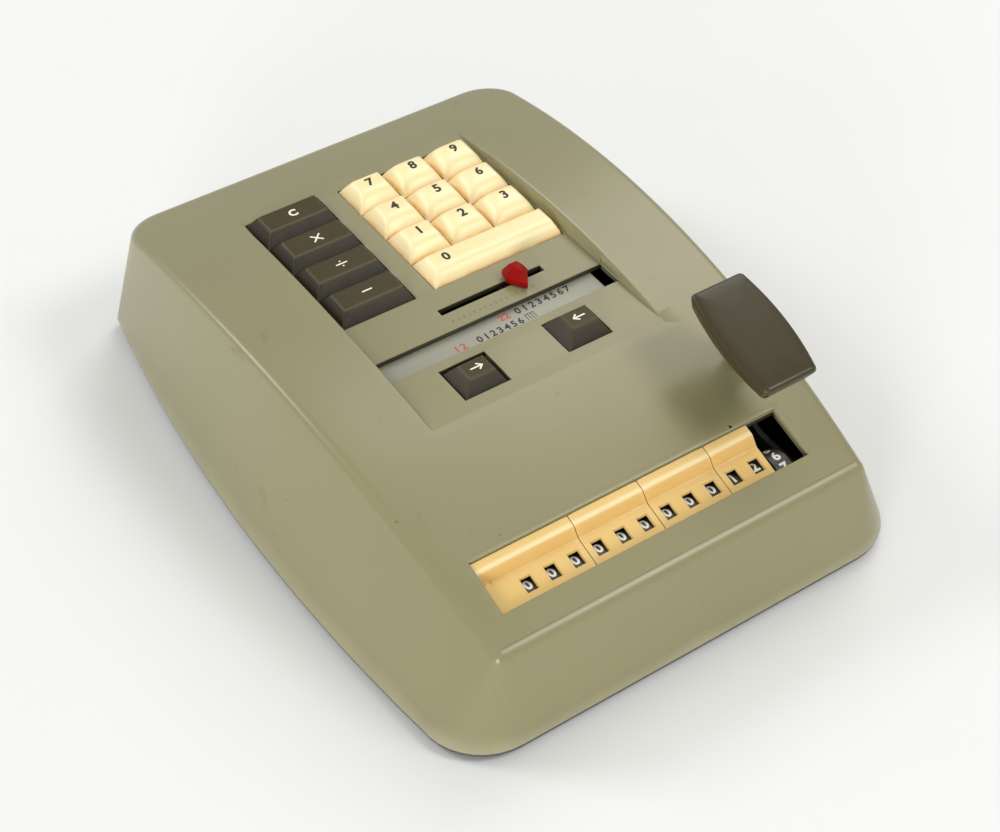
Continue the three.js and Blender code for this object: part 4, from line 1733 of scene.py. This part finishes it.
@dataclass
class Underside:
    """The rubber feet and the screws that hold the base."""

    def build(self) -> None:
        """Makes four feet and four screws."""
        for end in ("front", "rear"):
            for side in ("left", "right"):
                self.foot(f"foot_{end}_{side}")
                self.screw(f"base_screw_{end}_{side}")
        LOG.info("underside: 4 feet and 4 screws")

    def foot(self, name: str) -> None:
        """Makes one foot: a low dome with a moulded ring.

        Args:
            name: its CAD node.
        """
        low, high = box_mm(name)
        radius, height = (high.x - low.x) / 2, high.z
        bm = turned([
            (0.05, 0.25), (radius * 0.5, 0.25), (radius * 0.55, 0), (radius - 0.9, 0), (radius - 0.3, 0.4),
            (radius, 1.2), (radius, height), (0.05, height),
        ], 48)
        fill_rim(bm)
        bmesh.ops.translate(bm, vec=((low.x + high.x) / 2, (low.y + high.y) / 2, 0), verts=bm.verts)
        foot = into_object(f"{name}_pad", bm, Finish.RUBBER, 50)
        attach(foot, "chassis")
        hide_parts(name)

    def screw(self, name: str) -> None:
        """Makes one screw with a slotted head and a grooved shank.

        Args:
            name: its CAD node.
        """
        low, high = box_mm(name)
        head = (high.x - low.x) / 2
        shank = head / 2
        profile = [
            (0.03, low.z), (head - 0.5, low.z), (head, low.z + 0.45), (head, low.z + 1), (shank, low.z + 1),
        ]
        z = low.z + 1.6
        while z < high.z - 1.2:
            profile += [(shank - 0.22, z), (shank, z + 0.35)]
            z += 0.7
        profile += [(shank - 0.5, high.z), (0.03, high.z)]
        bm = turned(profile, 24)
        middle = (low + high) / 2
        bmesh.ops.translate(bm, vec=(middle.x, middle.y, 0), verts=bm.verts)
        screw = into_object(f"{name}_turned", bm, Finish.STEEL, 40)
        slot = bmesh.new()
        block(slot, (middle.x - 4, middle.y - 0.35, low.z - 1), (middle.x + 4, middle.y + 0.35, low.z + 0.5))
        carve(screw, into_object("slot", slot, None))
        shade(screw.data, 40)
        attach(screw, "chassis")
        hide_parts(name)


@dataclass
class Works:
    """The carried-over inner parts, dressed in their metals with softened edges."""

    steel: tuple[str, ...] = (
        "rear_tie_bar", "front_tie_bar", "carriage_rail", "wheel_shaft", "lever_shaft", "main_shaft",
        "lever_spring",
    )
    grey: tuple[str, ...] = (
        "side_frame_left", "side_frame_right", "key_guide_plate", "detent_comb", "lever_arm",
    )
    brass: tuple[str, ...] = ("setting_carriage",)

    def build(self) -> None:
        """Dresses each inner part."""
        metals = ((self.steel, Finish.STEEL), (self.grey, Finish.GREY_STEEL), (self.brass, Finish.BRASS))
        for names, finish in metals:
            for name in names:
                self.dress(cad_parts[name], finish)
        LOG.info("works: %d inner parts", len(self.steel + self.grey + self.brass))

    def dress(self, node: bpy.types.Object, finish: Finish) -> None:
        """Gives a CAD node its finish and small bevels.

        Args:
            node: the node's object.
            finish: its metal.
        """
        if not node.material_slots:
            node.data.materials.append(Finishes.of(finish))
        for slot in node.material_slots:
            slot.material = Finishes.of(finish)
        weld = node.modifiers.new("weld", "WELD")
        weld.merge_threshold = 1e-6
        bevel = node.modifiers.new("bevel", "BEVEL")
        bevel.width = 0.15 * MM
        bevel.segments = 2
        bevel.limit_method = "ANGLE"
        bevel.angle_limit = math.radians(40)


# ---- Studio -----------------------------------------------------------------------------------


@dataclass
class Studio:
    """The pale floor, the soft lights and the camera."""

    eye: Point = (-0.27333, -0.41339, 0.4953)
    look_at: Point = (-0.0139, -0.0309, 0.04)
    lens: float = 72.02
    sensor: float = 36
    aim: Point = (0, 0, 0.03)
    room_light: float = 0.48
    floor_half: float = 4000
    lamps: tuple[tuple[str, Point, float, float, Colour], ...] = (
        ("key_light", (0.95, 0.62, 1.33), 0.9, 8.0, (1.0, 0.985, 0.96)),
        ("front_ridge_light", (0.67, -0.8, 1.23), 0.5, 7.5, (1.0, 0.995, 0.98)),
        ("left_ridge_light", (-0.88, 0.96, 0.96), 0.5, 7.0, (0.98, 0.99, 1.0)),
        ("wall_light", (-1.2, -1.05, 0.3), 0.5, 12.0, (1.0, 1.0, 1.0)),
    )
    floor_tone: Colour = field(default_factory=lambda: tone(240, 240, 237))

    def build(self) -> None:
        """Makes the camera, the floor and the lights."""
        self.camera()
        self.floor()
        for name, place, size, power, colour in self.lamps:
            self.lamp(name, place, size, power, colour)
        world = bpy.data.worlds.new("soft_room")
        world.use_nodes = True
        backdrop = world.node_tree.nodes["Background"]
        backdrop.inputs["Color"].default_value = (0.96, 0.97, 1.0, 1)
        backdrop.inputs["Strength"].default_value = self.room_light
        bpy.context.scene.world = world
        bpy.context.scene.view_settings.view_transform = "Standard"

    def camera(self) -> None:
        """Makes the camera."""
        data = bpy.data.cameras.new("camera")
        data.lens = self.lens
        data.sensor_width = self.sensor
        data.sensor_fit = "HORIZONTAL"
        data.clip_start, data.clip_end = 0.01, 20
        camera = bpy.data.objects.new("camera", data)
        bpy.context.scene.collection.objects.link(camera)
        camera.location = self.eye
        camera.rotation_euler = (Vector(self.look_at) - Vector(self.eye)).to_track_quat("-Z", "Y").to_euler()
        bpy.context.scene.camera = camera

    def floor(self) -> None:
        """Makes the pale floor."""
        bm = bmesh.new()
        bmesh.ops.create_grid(bm, x_segments=8, y_segments=8, size=self.floor_half)
        graph = Graph("floor_paper")
        slow = graph.span(graph.noise(160.0, 3.0), 0.3, 0.7)
        mixed = graph.blend(graph.scaled(slow, 0.5), graph.colour(self.floor_tone), tone(236, 236, 233))
        graph.bump((graph.noise(1.5, 3.0), 0.02))
        rough = graph.span(graph.noise(90.0, 1.0), -1.4, 0.9)
        material = graph.finish(mixed, rough)
        graph.shader.inputs["Specular IOR Level"].default_value = 0.2
        floor = into_object("floor", bm, None)
        floor.data.materials.append(material)

    def lamp(self, name: str, place: Point, size: float, power: float, colour: Colour) -> None:
        """Makes a square soft light that faces the machine.

        Args:
            name: the light's name.
            place: where it stands, in metres.
            size: its side in metres.
            power: its power in watts.
            colour: its colour.
        """
        data = bpy.data.lights.new(name, "AREA")
        data.shape = "SQUARE"
        data.size = size
        data.energy = power
        data.color = colour
        lamp = bpy.data.objects.new(name, data)
        bpy.context.scene.collection.objects.link(lamp)
        lamp.location = place
        lamp.rotation_euler = (Vector(self.aim) - Vector(place)).to_track_quat("-Z", "Y").to_euler()


def main() -> None:
    """Builds the machine in order."""
    logging.basicConfig(level=logging.INFO)
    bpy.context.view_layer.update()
    Studio().build()
    casing = Casing()
    casing.build()
    casing.base()
    casing.tick_scale()
    Keyboard().build()
    Pointer().build()
    ScaleStrip().build()
    Register().build()
    LeverPad().build()
    Underside().build()
    Works().build()


if __name__ == "__main__":
    main()
